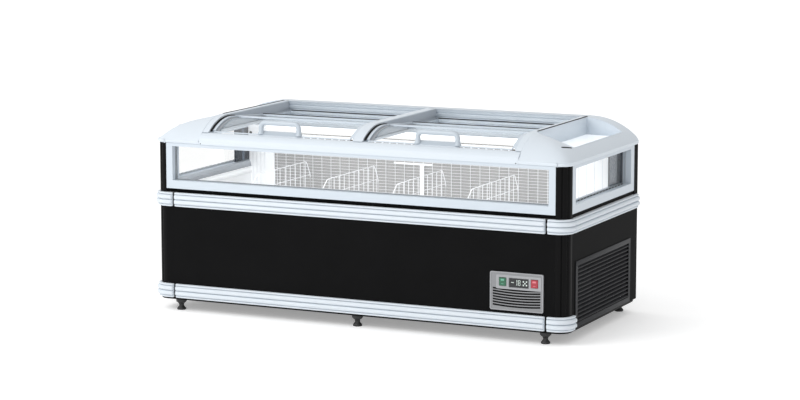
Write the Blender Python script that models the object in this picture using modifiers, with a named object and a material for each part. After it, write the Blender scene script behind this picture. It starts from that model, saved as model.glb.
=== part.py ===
"""Island display chest freezer: an insulated tub under a glazed rim and a roof with sliding curved lids.

Metres, +Z up. The origin is on the floor under the middle of the whole cabinet, X runs along its length
to the right, and Y runs from the customer's front to the back.
"""

import math

import bmesh
import bpy
from mathutils import Matrix, Vector

# Driving dimensions of the cabinet.
LENGTH = 2.10
DEPTH = 0.92
BUMPER = 0.020
POST_RADIUS = 0.058
REAR_CORNER = 0.014
SHEET = 0.002
GAP = 0.0003

HALF = LENGTH / 2
REAR = (DEPTH + BUMPER) / 2
FRONT = REAR - DEPTH
POST_X = HALF - POST_RADIUS
POST_FRONT_Y = FRONT + POST_RADIUS
POST_REAR_Y = REAR - POST_RADIUS

# Heights, from the floor up.
Z_BASE = 0.054
Z_BODY = 0.063
Z_TUB_TOP = 0.570
Z_BELT_TOP = 0.588
Z_RIM_TOP = 0.806
Z_ROOF = 0.928
LOWER_BUMPER_Z = 0.063
UPPER_BUMPER_Z = 0.503

# The tub and the machine compartment under its right end.
WALL = 0.075
TUB_X = HALF - WALL
TUB_FRONT = FRONT + WALL
TUB_REAR = REAR - WALL
FLOOR_Z = 0.150
STEP_X = 0.600
STEP_Z = 0.440
MACHINE_X = 0.660
MACHINE_Z = 0.385

# The glazed rim on top of the tub.
RIM_DEPTH = 0.065
STILE = 0.034
END_STILE = 0.045
WINDOW_LOW = 0.627
WINDOW_HIGH = 0.790
PANE = 0.010

# The roof: a round front edge of one radius, flat behind it.
ROOF_Y = -0.225
ROOF_RADIUS = 0.300
ROOF_CENTRE_Z = Z_ROOF - ROOF_RADIUS
BEAM_FRONT = -0.454
BEAM_INNER = -0.390
REAR_BEAM_Y = 0.410
CAP_X = 0.812
CAP_END = 1.058
CAP_RADIUS = 0.330
CAP_WALL = 0.004
CAP_CORNER = 0.060
CAP_REAR_CORNER = 0.030
CAP_LIP_Z = 0.822
SKYLIGHT_RIGHT = 1.000
SKYLIGHT_Y = (-0.243, 0.388)
SKYLIGHT_SKEW = 0.014
SKYLIGHT_Z = (0.840, 0.846)
SKYLIGHT_LEDGE = 0.006
RIB_WIDTH = 0.030
MIDDLE_RIB_HALF = 0.024
BAY_OUTER = CAP_X - RIB_WIDTH
RIB_BOTTOM = 0.855

# The sliding lids, two in front over two behind, on the ribs' stepped tracks.
LID_INSET = 0.009
LID_FRAME = 0.008
LID_GLASS = 0.004
LID_SLOPE = math.radians(4.4)
LID_SIDE_GAP = 0.0015
LID_FIN = 0.010
LID_FRONT_Z = 0.8606
LID_REAR_Y = 0.110
LID_BAR_Y = -0.155
LID_FRONT_RAIL_Y = -0.392
LID_FIN_Z = 0.8605
LID_FIN_START = (-0.385, 0.8695)
FRONT_LEDGE = 0.012
FRONT_LEDGE_Z = 0.8600
REAR_LEDGE = 0.021
REAR_LEDGE_Z = 0.8675
LEDGE_START = -0.335
REAR_LID = ((0.060, 0.405), (0.868, 0.880))
RAIL = 0.0235
REAR_RAIL = 0.016
HANDLE_HALF = 0.0985
HANDLE_SHIFT = -0.009
HANDLE_RADIUS = 0.009
HANDLE_Y = -0.388
HANDLE_TOP = 0.922

# Feet, dividers, rear grid and the control panel.
FRONT_FEET = ((-0.937, -0.416), (0.0, -0.416), (0.937, -0.416))
REAR_FEET = ((-0.975, 0.430), (0.0, 0.430), (0.975, 0.430))
DIVIDERS = (-0.615, -0.242, 0.121, 0.498)
DIVIDER_Y = (-0.330, 0.315)
DIVIDER_CROWN = (-0.240, 0.270)
DIVIDER_TOP = 0.650
DIVIDER_SHOULDER = 0.577
GRID_X = (-0.880, 0.930)
GRID_Y = 0.368
GRID_TOP = 0.768
FRONT_OPENING = ((0.720, 0.918), (0.158, 0.302))
BEZEL = ((0.683, 0.940), (0.144, 0.318))
BEZEL_BACK = FRONT - GAP
BEZEL_FACE = FRONT - 0.009
SWITCHES = {"switch_green": 0.7445, "switch_red": 0.8980}
SWITCH_Z = 0.274
SWITCH_HOLE = (0.0175, 0.0195)
DISPLAY = ((0.775, 0.870), (0.251, 0.293))
AIR_SLOT_X = (0.702, 0.920)
AIR_SLOT_Z = 0.1645
AIR_SLOT_PITCH = 0.0124
AIR_SLOT_HEIGHT = 0.0075
AIR_SLOT_SAG = 0.003

# The machine compartment: its grille, compressor, condenser and fan.
GRILLE = ((-0.348, 0.362), (0.066, 0.370))
GRILLE_SLOT_Y = (-0.325, 0.338)
GRILLE_SLOT_Z = 0.094
GRILLE_PITCH = 0.0195
GRILLE_SLOT_HEIGHT = 0.009
INTAKE = ((-0.325, 0.335), (0.088, 0.345))
COMPRESSOR_CENTRE = (0.840, 0.170, 0)
COMPRESSOR_PLATE = ((0.730, 0.950), (0.075, 0.265))
CONDENSER = ((0.700, 0.980), (-0.395, -0.265))
CONDENSER_TOP = 0.340
FAN_CENTRE = Vector((0.840, -0.300, 0.200))
FAN_RADIUS = 0.095

PARTS = "chest_freezer"
AXES = {
    "X": Matrix(((0, 0, 1, 0), (1, 0, 0, 0), (0, 1, 0, 0), (0, 0, 0, 1))),
    "Y": Matrix(((1, 0, 0, 0), (0, 0, -1, 0), (0, 1, 0, 0), (0, 0, 0, 1))),
    "Z": Matrix.Identity(4),
}


def clear_scene():
    for item in list(bpy.data.objects):
        bpy.data.objects.remove(item, do_unlink=True)
    collection = bpy.data.collections.new(PARTS)
    bpy.context.scene.collection.children.link(collection)
    return collection


def material(name, colour, roughness, metallic=0.0, alpha=1.0):
    finish = bpy.data.materials.new(name)
    finish.use_nodes = True
    shader = finish.node_tree.nodes["Principled BSDF"]
    shader.inputs["Base Color"].default_value = (*colour, 1.0)
    shader.inputs["Roughness"].default_value = roughness
    shader.inputs["Metallic"].default_value = metallic
    shader.inputs["Alpha"].default_value = alpha
    return finish


def add_object(name, mesh):
    item = bpy.data.objects.new(name, mesh)
    collection.objects.link(item)
    return item


def tidy_mesh(mesh):
    """Weld loose caps and point every face outwards."""
    work = bmesh.new()
    work.from_mesh(mesh)
    bmesh.ops.remove_doubles(work, verts=work.verts, dist=1e-6)
    bmesh.ops.recalc_face_normals(work, faces=work.faces)
    work.to_mesh(mesh)
    work.free()


def bake(item):
    """Replace a curve or a modified mesh by its evaluated mesh, in world coordinates."""
    bpy.context.view_layer.update()
    evaluated = item.evaluated_get(bpy.context.evaluated_depsgraph_get())
    mesh = bpy.data.meshes.new_from_object(evaluated)
    mesh.transform(item.matrix_world)
    tidy_mesh(mesh)
    name = item.name
    bpy.data.objects.remove(item, do_unlink=True)
    return add_object(name, mesh)


def combine(item, operand, operation="DIFFERENCE"):
    """Cut, join or intersect a solid with another, which is used up."""
    modifier = item.modifiers.new("combine", "BOOLEAN")
    modifier.operation = operation
    modifier.solver = "EXACT"
    modifier.object = operand
    result = bake(item)
    bpy.data.objects.remove(operand, do_unlink=True)
    return result


def cut(item, *cutters):
    for cutter in cutters:
        item = combine(item, cutter)
    return item


def join(item, *others):
    for other in others:
        item = combine(item, other, "UNION")
    return item


def box(name, x, y, z):
    """A block between the given low and high X, Y and Z."""
    middle = Vector(((x[0] + x[1]) / 2, (y[0] + y[1]) / 2, (z[0] + z[1]) / 2))
    size = Vector((x[1] - x[0], y[1] - y[0], z[1] - z[0]))
    work = bmesh.new()
    bmesh.ops.create_cube(work, size=1.0, matrix=Matrix.Translation(middle) @ Matrix.Diagonal((*size, 1.0)))
    mesh = bpy.data.meshes.new(name)
    work.to_mesh(mesh)
    work.free()
    return add_object(name, mesh)


def cylinder(name, centre, radius, length, axis="Z", sides=16):
    work = bmesh.new()
    turn = Matrix.Translation(centre) @ AXES[axis]
    bmesh.ops.create_cone(
        work, cap_ends=True, segments=sides, radius1=radius, radius2=radius, depth=length, matrix=turn
    )
    mesh = bpy.data.meshes.new(name)
    work.to_mesh(mesh)
    work.free()
    return add_object(name, mesh)


def prism(name, loops, axis, low, high):
    """A flat outline, with its holes as further loops, given thickness along an axis.

    The loops are in (Y, Z) along X, in (X, Z) along Y and in (X, Y) along Z.
    """
    curve = bpy.data.curves.new(name, "CURVE")
    curve.dimensions = "2D"
    curve.fill_mode = "BOTH"
    curve.extrude = (high - low) / 2
    for loop in loops:
        spline = curve.splines.new("POLY")
        spline.points.add(len(loop) - 1)
        for point, (u, v) in zip(spline.points, loop):
            point.co = (u, v, 0.0, 1.0)
        spline.use_cyclic_u = True
    item = add_object(name, curve)
    middle = (high + low) / 2
    shift = {"X": (middle, 0, 0), "Y": (0, middle, 0), "Z": (0, 0, middle)}[axis]
    item.matrix_world = Matrix.Translation(shift) @ AXES[axis]
    return bake(item)


def turned(name, profile, centre, steps=16):
    """A round piece about a vertical axis, from a profile that runs down its outer side."""
    mesh = bpy.data.meshes.new(name)
    edges = [(i, i + 1) for i in range(len(profile) - 1)]
    mesh.from_pydata([(radius, 0.0, z) for radius, z in profile], edges, [])
    item = add_object(name, mesh)
    item.location = centre
    screw = item.modifiers.new("turn", "SCREW")
    screw.steps = steps
    screw.render_steps = steps
    screw.use_merge_vertices = True
    screw.merge_threshold = 1e-5
    return bake(item)


def swept(name, profile, stations):
    """A profile of (outward, height) points carried along stations of (x, y, outward x, outward y)."""
    work = bmesh.new()
    rings = []
    for x, y, out_x, out_y in stations:
        rings.append([work.verts.new((x + out_x * p, y + out_y * p, z)) for p, z in profile])
    count = len(profile)
    for first, second in zip(rings, rings[1:]):
        for i in range(count):
            j = (i + 1) % count
            work.faces.new((first[i], first[j], second[j], second[i]))
    work.faces.new(rings[0])
    work.faces.new(rings[-1])
    mesh = bpy.data.meshes.new(name)
    work.to_mesh(mesh)
    work.free()
    tidy_mesh(mesh)
    return add_object(name, mesh)


def mirrored(name, source):
    """The left-hand copy of a right-hand piece."""
    mesh = source.data.copy()
    mesh.transform(Matrix.Diagonal((-1, 1, 1, 1)))
    tidy_mesh(mesh)
    return add_object(name, mesh)


def pivot(item, point):
    """Move a piece's origin onto its joint's axis, leaving its shape in place."""
    item.data.transform(Matrix.Translation(-Vector(point)))
    item.location = point
    return item


def finish(item, look):
    item.data.materials.clear()
    item.data.materials.append(look)
    item.data.shade_smooth()
    item.data.set_sharp_from_angle(angle=math.radians(35))
    return item


def rectangle(x, y):
    return [(x[0], y[0]), (x[1], y[0]), (x[1], y[1]), (x[0], y[1])]


def arc(centre, radius, start, end, steps):
    """Points of a circular arc, angles in degrees."""
    points = []
    for i in range(steps + 1):
        angle = math.radians(start + (end - start) * i / steps)
        points.append((centre[0] + radius * math.cos(angle), centre[1] + radius * math.sin(angle)))
    return points


def rounded_rectangle(x, y, radius, steps=4):
    corners = ((x[1], y[0], -90), (x[1], y[1], 0), (x[0], y[1], 90), (x[0], y[0], 180))
    points = []
    for cx, cy, start in corners:
        centre = (cx - math.copysign(radius, cx - sum(x) / 2), cy - math.copysign(radius, cy - sum(y) / 2))
        points += arc(centre, radius, start, start + 90, steps)
    return points


def notched_block(name, inset, z, fold=0.0):
    """The cabinet's whole plan, inset from its faces, with a square notch for each corner post.

    The rear notches are larger by a fold where a sheet is folded round the posts.
    """
    block = box(name, (-HALF + inset, HALF - inset), (FRONT + inset, REAR - inset), z)
    for side in (-1, 1):
        x = sorted((side * (POST_X - GAP), side * 2 * HALF))
        block = cut(block, box("notch", x, (-HALF, POST_FRONT_Y + GAP), (0, 1)))
        x = sorted((side * (POST_X - GAP - fold), side * 2 * HALF))
        block = cut(block, box("notch", x, (POST_REAR_Y - GAP - fold, HALF), (0, 1)))
    return block


# Body


def base_frame():
    """Shallow steel tray with a nut boss over each foot."""
    outline = rounded_rectangle((-HALF + SHEET, HALF - SHEET), (FRONT + SHEET, REAR - SHEET), 0.055)
    inner = rounded_rectangle(
        (-HALF + 2 * SHEET, HALF - 2 * SHEET), (FRONT + 2 * SHEET, REAR - 2 * SHEET), 0.053
    )
    top = Z_BODY - GAP
    tray = prism("base_frame", [outline], "Z", Z_BASE, top)
    tray = cut(tray, prism("hollow", [inner], "Z", Z_BASE + SHEET, top + 0.01))
    for x, y in FRONT_FEET + REAR_FEET:
        boss = cylinder("boss", (x, y, (Z_BASE + top) / 2), 0.016, top - Z_BASE - GAP)
        tray = join(tray, boss)
        tray = cut(tray, cylinder("hole", (x, y, Z_BASE), 0.0056, 0.05, sides=12))
    return tray


def insulated_tub():
    """Foamed tub with a raised floor over the machine compartment at its right end."""
    tub = notched_block("insulated_tub", SHEET + GAP, (Z_BODY, Z_TUB_TOP - GAP), SHEET + GAP)
    inside_y = (TUB_FRONT, TUB_REAR)
    well = box("well", (-TUB_X, STEP_X), inside_y, (FLOOR_Z, 0.7))
    shallow = box("shallow", (0, TUB_X), inside_y, (STEP_Z, 0.7))
    machine = box("machine", (MACHINE_X, 1.2), (-0.6, 0.6), (0, MACHINE_Z))
    return cut(tub, well, shallow, machine)


def front_panel():
    """Black front sheet, open behind the control panel."""
    outline = rectangle((-POST_X + GAP, POST_X - GAP), (Z_BODY, Z_TUB_TOP - GAP))
    return prism("front_panel", [outline, rectangle(*FRONT_OPENING)], "Y", FRONT, FRONT + SHEET)


def outer_wrap():
    """Sheet over both ends and the back, folded in round the rear posts, open behind the side grille."""
    outer, inner = [], []
    for line, inset in ((outer, 0), (inner, SHEET)):
        notch_x, notch_y = POST_X - GAP - inset, POST_REAR_Y - GAP - inset
        half = [(HALF - inset, POST_FRONT_Y + GAP), (HALF - inset, notch_y), (notch_x, notch_y)]
        half.append((notch_x, REAR - inset))
        line += half + [(-x, y) for x, y in reversed(half)]
    wrap = prism("outer_wrap", [outer + inner[::-1]], "Z", Z_BODY, Z_TUB_TOP - GAP)
    return cut(wrap, box("intake", (POST_X, HALF + 0.1), *INTAKE))


def front_post(name, side):
    """Quarter-round black post with two grooves down its round face."""
    groove = {4: 0.004, 7: 0.004}
    points = [(side * POST_X, POST_FRONT_Y)]
    steps = 11
    for i in range(steps + 1):
        angle = math.radians(90 * i / steps)
        radius = POST_RADIUS - groove.get(i, 0)
        points.append((side * (POST_X + radius * math.cos(angle)), POST_FRONT_Y - radius * math.sin(angle)))
    return prism(name, [points], "Z", Z_BODY, Z_RIM_TOP - GAP)


def rear_post(name, side):
    """Square black post with a small round on its outer edge."""
    round_edge = arc((HALF - REAR_CORNER, REAR - REAR_CORNER), REAR_CORNER, 0, 90, 4)
    points = [(POST_X, POST_REAR_Y), (HALF, POST_REAR_Y), *round_edge, (POST_X, REAR)]
    return prism(name, [[(side * x, y) for x, y in points]], "Z", Z_BODY, Z_RIM_TOP - GAP)


def belt_ring():
    """Black strip between the tub and the glazed rim."""
    ring = notched_block("belt_ring", 0.004, (Z_TUB_TOP, Z_BELT_TOP - GAP))
    return cut(ring, box("hole", (-TUB_X, TUB_X), (TUB_FRONT, TUB_REAR), (0.5, 0.7)))


BUMPER_PROFILE = (
    (0.006, 0.000), (0.012, 0.008), (0.010, 0.011), (0.019, 0.017), (0.020, 0.026), (0.018, 0.031),
    (0.013, 0.0335), (0.018, 0.036), (0.020, 0.041), (0.019, 0.050), (0.010, 0.056), (0.013, 0.060),
    (0.008, 0.067),
)


def bumper(name, stations, bottom):
    profile = [(GAP, bottom)] + [(p, z + bottom) for p, z in BUMPER_PROFILE]
    profile.append((GAP, profile[-1][1]))
    return swept(name, profile, stations)


def corner_stations(side, tail):
    """Round the front corner: a short straight run, the quarter turn and a tail along the end."""
    stations = [(side * (POST_X - 0.036), FRONT, 0, -1)]
    for i in range(9):
        angle = math.radians(90 * i / 8)
        stations.append((side * POST_X, POST_FRONT_Y, side * math.sin(angle), -math.cos(angle)))
    turned_stations = [
        (x + nx * POST_RADIUS, y + ny * POST_RADIUS, nx, ny) for x, y, nx, ny in stations[1:]
    ]
    return stations[:1] + turned_stations + [(side * HALF, POST_FRONT_Y + tail, side, 0)]


def bumpers():
    front = [(-0.946, FRONT, 0, -1), (0.946, FRONT, 0, -1)]
    pieces = [
        bumper("upper_bumper_front", front, UPPER_BUMPER_Z),
        bumper("lower_bumper_front", front, LOWER_BUMPER_Z),
    ]
    for word, side in (("left", -1), ("right", 1)):
        pieces.append(bumper(f"upper_bumper_corner_{word}", corner_stations(side, 0.003), UPPER_BUMPER_Z))
        pieces.append(bumper(f"lower_bumper_corner_{word}", corner_stations(side, 0.030), LOWER_BUMPER_Z))
        along = [(side * HALF, POST_FRONT_Y + 0.006, side, 0), (side * HALF, REAR - BUMPER, side, 0)]
        pieces.append(bumper(f"upper_bumper_{word}", along, UPPER_BUMPER_Z))
    return pieces


# Glazed rim


def glazing_frame():
    """Metal rim with a window in each of its four sides."""
    rim = notched_block("glazing_frame", 0.001, (Z_BELT_TOP, Z_RIM_TOP - GAP))
    inside_x, inside_y = HALF - RIM_DEPTH, (FRONT + RIM_DEPTH, REAR - RIM_DEPTH)
    middle = box("middle", (-inside_x, inside_x), inside_y, (0.5, 0.9))
    z = (WINDOW_LOW, WINDOW_HIGH)
    across = box("windows", (-POST_X + STILE, POST_X - STILE), (-0.6, 0.6), z)
    along = box("end_windows", (-1.2, 1.2), (POST_FRONT_Y + END_STILE, POST_REAR_Y - END_STILE), z)
    return cut(rim, middle, across, along)


def window_panes():
    """Double-glazed units set in the middle of the rim's depth."""
    z = (WINDOW_LOW + GAP, WINDOW_HIGH - GAP)
    x = (-POST_X + STILE + GAP, POST_X - STILE - GAP)
    y = (POST_FRONT_Y + END_STILE + GAP, POST_REAR_Y - END_STILE - GAP)
    set_back = 0.030
    return [
        box("glass_front", x, (FRONT + set_back, FRONT + set_back + PANE), z),
        box("glass_rear", x, (REAR - set_back - PANE, REAR - set_back), z),
        box("glass_left", (-HALF + set_back, -HALF + set_back + PANE), y, z),
        box("glass_right", (HALF - set_back - PANE, HALF - set_back), y, z),
    ]


# Roof


def roof_front(radius, start_z, steps=8):
    """The round front edge, from a height on it up to the flat top."""
    start = math.degrees(math.asin((start_z - ROOF_CENTRE_Z) / radius))
    return arc((ROOF_Y, ROOF_CENTRE_Z), radius, 180 - start, 90, steps)


def front_beam():
    """Extruded front edge of the roof."""
    outline = [
        (BEAM_INNER, Z_RIM_TOP), (BEAM_FRONT, Z_RIM_TOP), (BEAM_FRONT, 0.814), (-0.452, 0.824),
        (-0.446, 0.836), (-0.436, 0.847), (-0.423, 0.855), (-0.408, 0.859), (-0.396, 0.858),
        (BEAM_INNER, 0.852),
    ]
    return prism("front_beam", [outline], "X", -CAP_X + GAP, CAP_X - GAP)


def rear_beam():
    """Upright rear edge of the roof, ribbed on its inner face."""
    outline = [(REAR, Z_RIM_TOP), (REAR, Z_ROOF), (REAR_BEAM_Y, Z_ROOF)]
    rib_pitch = 0.020
    for i in range(1, 6):
        z = Z_ROOF - rib_pitch * i
        outline += [(REAR_BEAM_Y, z + 0.003), (REAR_BEAM_Y + 0.004, z), (REAR_BEAM_Y, z - 0.003)]
    outline.append((REAR_BEAM_Y, Z_RIM_TOP))
    return prism("rear_beam", [outline], "X", -CAP_X + GAP, CAP_X - GAP)


def ledge(face, side):
    """Stepped track on one side of a rib.

    The front lid's fins run in the low channel next to the rib, and the rear lid rests on the outer step.
    """
    outline = [
        (face - side * 0.005, RIB_BOTTOM), (face + side * REAR_LEDGE, RIB_BOTTOM),
        (face + side * REAR_LEDGE, REAR_LEDGE_Z), (face + side * FRONT_LEDGE, REAR_LEDGE_Z),
        (face + side * FRONT_LEDGE, FRONT_LEDGE_Z), (face - side * 0.005, FRONT_LEDGE_Z),
    ]
    return prism("ledge", [outline], "Y", LEDGE_START, REAR_BEAM_Y - GAP)


def rib(name, low, high, sides):
    """Cross member of the roof, from the front beam back to the rear beam."""
    foot_y = BEAM_INNER + GAP
    outline = roof_front(ROOF_RADIUS, 0.860)
    outline += [(REAR_BEAM_Y - GAP, Z_ROOF), (REAR_BEAM_Y - GAP, RIB_BOTTOM), (-0.300, RIB_BOTTOM)]
    outline += [(-0.360, Z_RIM_TOP + GAP), (foot_y, Z_RIM_TOP + GAP), (foot_y, 0.860)]
    member = prism(name, [outline], "X", low, high)
    for side in sides:
        member = join(member, ledge(high if side > 0 else low, side))
    return member


def cap_volume(name, inset, floor):
    """Space under an end of the roof: round to the front and to the end, with rounded corners in plan."""
    front = BEAM_FRONT + inset
    across = [(front, floor), (REAR - inset, floor), (REAR - inset, Z_ROOF - inset)]
    across += roof_front(ROOF_RADIUS - inset, 0.847 - inset)[::-1]
    across += [(front + 0.006, 0.836 - inset), (front, 0.820 - inset)]
    along = [(CAP_X + GAP + inset, floor), (CAP_END - inset, floor), (CAP_END - inset, CAP_LIP_Z - inset)]
    reach = math.degrees(math.asin((CAP_LIP_Z + 0.004 - Z_ROOF + CAP_RADIUS) / CAP_RADIUS))
    along += arc((CAP_X, Z_ROOF - CAP_RADIUS), CAP_RADIUS - inset, reach, 87, 8)
    along.append((CAP_X + GAP + inset, along[-1][1]))
    plan = [(CAP_X - 0.01, REAR - inset), (CAP_X - 0.01, front)]
    corner = CAP_CORNER - inset
    plan += arc((CAP_END - CAP_CORNER, BEAM_FRONT + CAP_CORNER), corner, -90, 0, 6)
    rear_centre = (CAP_END - CAP_REAR_CORNER, REAR - CAP_REAR_CORNER)
    plan += arc(rear_centre, CAP_REAR_CORNER - inset, 0, 90, 6)
    volume = prism(name, [across], "X", CAP_X - 0.005, CAP_END + 0.01)
    volume = combine(volume, prism("along", [along], "Y", BEAM_FRONT - 0.01, REAR + 0.01), "INTERSECT")
    return combine(volume, prism("plan", [plan], "Z", floor - 0.01, Z_ROOF + 0.01), "INTERSECT")


def skylight_plan(offset):
    """The well in an end cap, its rear edge a little askew; a positive offset makes it larger."""
    left, right = CAP_X + CAP_WALL + GAP - offset, SKYLIGHT_RIGHT + offset
    front, rear = SKYLIGHT_Y[0] - offset, SKYLIGHT_Y[1] + offset
    return [(left, front), (right, front), (right, rear - SKYLIGHT_SKEW), (left, rear)]


def end_cap():
    """Moulded end of the roof with a four-sided well, and a ledge in it under the skylight."""
    shell = cap_volume("end_cap_right", 0, Z_RIM_TOP)
    hollow = cap_volume("hollow", CAP_WALL, Z_RIM_TOP - 0.02)
    hollow = cut(hollow, prism("block", [skylight_plan(CAP_WALL)], "Z", 0.7, 1.0))
    well = prism("well", [skylight_plan(0)], "Z", SKYLIGHT_Z[0] - GAP, 1.0)
    opening = prism("opening", [skylight_plan(-SKYLIGHT_LEDGE)], "Z", 0.7, 0.9)
    return cut(shell, hollow, well, opening)


def skylight():
    return prism("skylight_right", [skylight_plan(-GAP)], "Z", *SKYLIGHT_Z)


# Lids


def lid_curve(radius, start_z, end_y):
    """A lid's side view at one radius: round in front, then falling gently to the back."""
    start = math.degrees(math.asin((start_z - ROOF_CENTRE_Z) / radius))
    points = arc((ROOF_Y, ROOF_CENTRE_Z), radius, 180 - start, 90 - math.degrees(LID_SLOPE), 9)
    y, z = points[-1]
    points.append((end_y, z - (end_y - y) * math.tan(LID_SLOPE)))
    return points


def lid_band(name, outer, inner, x, start_z=LID_FRONT_Z, end_y=LID_REAR_Y):
    outline = lid_curve(outer, start_z, end_y) + lid_curve(inner, start_z, end_y)[::-1]
    return prism(name, [outline], "X", x[0], x[1])


def notched(item, bay):
    """Cut away a lid's front corners where they would meet the rear lid's track."""
    width = REAR_LEDGE + 0.0015
    for low, high in ((bay[0] - 0.01, bay[0] + width), (bay[1] - width, bay[1] + 0.01)):
        item = cut(item, box("notch", (low, high), (-0.5, -0.34), (0.8, REAR_LEDGE_Z + 0.0015)))
    return item


def front_lid(word, bay):
    """Curved lid: a frame with a cross bar and running fins, and its glass below.

    The front corners are notched, so that they clear the rear lid's track when the lid slides back.
    """
    x = (bay[0] + LID_SIDE_GAP, bay[1] - LID_SIDE_GAP)
    outer = ROOF_RADIUS - LID_INSET
    inner = outer - LID_FRAME
    frame = notched(lid_band(f"front_lid_frame_{word}", outer, inner, x), bay)
    inside = (x[0] + RAIL, x[1] - RAIL)
    for low, high in ((LID_FRONT_RAIL_Y, LID_BAR_Y - 0.010), (LID_BAR_Y + 0.010, LID_REAR_Y - RAIL)):
        frame = cut(frame, box("pane_hole", inside, (low, high), (0.8, 1.0)))
    fin = lid_curve(outer - 0.001, LID_FIN_START[1], LID_REAR_Y)
    fin += [(LID_REAR_Y, LID_FIN_Z), (LID_FIN_START[0], LID_FIN_Z)]
    for low, high in ((x[0], x[0] + LID_FIN), (x[1] - LID_FIN, x[1])):
        frame = join(frame, prism("fin", [fin], "X", low, high))
    glass_x = (x[0] + LID_FIN + GAP, x[1] - LID_FIN - GAP)
    glass = lid_band(f"front_lid_glass_{word}", inner - GAP, inner - GAP - LID_GLASS, glass_x)
    return frame, notched(glass, bay)


def handle(word, middle):
    """Rounded bail with flared feet, cut to sit on the lid's curved front rail."""
    bend = 0.024
    left = middle - HANDLE_HALF
    right = middle + HANDLE_HALF
    route = [(left, 0.855)]
    route += arc((left + bend, HANDLE_TOP - bend), bend, 180, 90, 4)
    route += arc((right - bend, HANDLE_TOP - bend), bend, 90, 0, 4)
    route.append((right, 0.855))
    curve = bpy.data.curves.new("handle", "CURVE")
    curve.dimensions = "3D"
    curve.bevel_depth = HANDLE_RADIUS
    curve.bevel_resolution = 2
    curve.use_fill_caps = True
    spline = curve.splines.new("POLY")
    spline.points.add(len(route) - 1)
    for point, (x, z) in zip(spline.points, route):
        point.co = (x, HANDLE_Y, z, 1.0)
    bail = bake(add_object(f"handle_{word}", curve))
    for x in (left, right):
        cone = [(0.0, 0.884), (0.010, 0.884), (0.017, 0.860), (0.0, 0.860)]
        bail = join(bail, turned("flare", cone, (x, HANDLE_Y, 0), 12))
    outer = ROOF_RADIUS - LID_INSET + GAP
    beneath = lid_band("beneath", outer, 0.2, (left - 0.1, right + 0.1), start_z=0.8195, end_y=0.0)
    return cut(bail, beneath)


def rear_lid(word, bay):
    """Flat lid one step lower, its pane held in the frame."""
    (low, high), z = REAR_LID
    x = (bay[0] + FRONT_LEDGE + 0.001, bay[1] - FRONT_LEDGE - 0.001)
    hole = rectangle((x[0] + REAR_RAIL, x[1] - REAR_RAIL), (low + RAIL, high - RAIL))
    frame = prism(f"rear_lid_frame_{word}", [rectangle(x, (low, high)), hole], "Z", *z)
    pane_x = (x[0] + REAR_RAIL + GAP, x[1] - REAR_RAIL - GAP)
    pane_y = (low + RAIL + GAP, high - RAIL - GAP)
    pane = box(f"rear_lid_glass_{word}", pane_x, pane_y, (z[0] + 0.003, z[0] + 0.007))
    return frame, pane


# Fittings


def levelling_foot(name, x, y):
    """Waisted foot: a flange under the base, a neck, a round pad, and a stud up into its nut."""
    profile = [
        (0.0, 0.0615), (0.005, 0.0615), (0.005, Z_BASE - GAP), (0.030, Z_BASE - GAP), (0.030, 0.041),
        (0.0205, 0.034), (0.011, 0.027), (0.011, 0.022), (0.0205, 0.010), (0.0215, 0.006), (0.0215, 0.0),
        (0.0, 0.0),
    ]
    return turned(name, profile, (x, y, 0), 16)


def divider(name, x):
    """Wire partition across the tub, open between its wires."""
    (low, high), (crown_front, crown_rear) = DIVIDER_Y, DIVIDER_CROWN
    top, shoulder = DIVIDER_TOP, DIVIDER_SHOULDER
    outline = [(low, FLOOR_Z + 0.002), (high, FLOOR_Z + 0.002), (high, shoulder), (crown_rear, top)]
    outline += [(crown_front, top), (low, shoulder)]
    wire = 0.005
    holes = []
    for i in range(4):
        left = low + wire + i * (high - low - wire) / 4
        right = low + (i + 1) * (high - low - wire) / 4
        holes.append(rectangle((left, right), (FLOOR_Z + 0.007, 0.360)))
        holes.append(rectangle((left, right), (0.366, shoulder - 0.003)))
        inner_left, inner_right = max(left, crown_front + 0.004), min(right, crown_rear - 0.004)
        holes.append(rectangle((inner_left, inner_right), (shoulder + 0.003, top - wire)))
    return prism(name, [outline] + holes, "X", x - 0.002, x + 0.002)


def rear_mesh():
    """Wire grid standing in front of the tub's back wall."""
    (low_x, high_x), low_z, high_z = GRID_X, STEP_Z + 0.004, GRID_TOP
    wire = 0.004
    columns, rows = 12, 2
    width = (high_x - low_x - wire) / columns
    height = (high_z - low_z - wire) / rows
    loops = [rectangle((low_x, high_x), (low_z, high_z))]
    for i in range(columns):
        for j in range(rows):
            left, bottom = low_x + i * width, low_z + j * height
            loops.append(rectangle((left + wire, left + width), (bottom + wire, bottom + height)))
    grid = prism("rear_mesh", loops, "Y", GRID_Y, GRID_Y + 0.003)
    for i in (1, 5, 7, 11):
        x = low_x + i * width
        tab = box("tab", (x - 0.006, x + 0.010), (GRID_Y + 0.001, TUB_REAR - GAP), (0.540, 0.556))
        grid = join(grid, tab)
    return grid


def louvre(bottom):
    """Air slot that dips towards its middle."""
    left, right = AIR_SLOT_X
    points = []
    for i in range(7):
        t = i / 6
        points.append((left + (right - left) * t, bottom - 4 * AIR_SLOT_SAG * t * (1 - t)))
    return points + [(x, z + AIR_SLOT_HEIGHT) for x, z in reversed(points)]


def control_bezel():
    """Grey control panel with holes for its switches, display and air slots."""
    loops = [rounded_rectangle(*BEZEL, 0.006, 2), rectangle(*DISPLAY)]
    for x in SWITCHES.values():
        half_x, half_z = SWITCH_HOLE
        loops.append(rectangle((x - half_x, x + half_x), (SWITCH_Z - half_z, SWITCH_Z + half_z)))
    loops += [louvre(AIR_SLOT_Z + AIR_SLOT_PITCH * i) for i in range(7)]
    return prism("control_bezel", loops, "Y", BEZEL_FACE, BEZEL_BACK)


def display_window():
    (x0, x1), (z0, z1) = DISPLAY
    return box("display", (x0 + GAP, x1 - GAP), (BEZEL_FACE + 0.002, BEZEL_BACK), (z0 + GAP, z1 - GAP))


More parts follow.
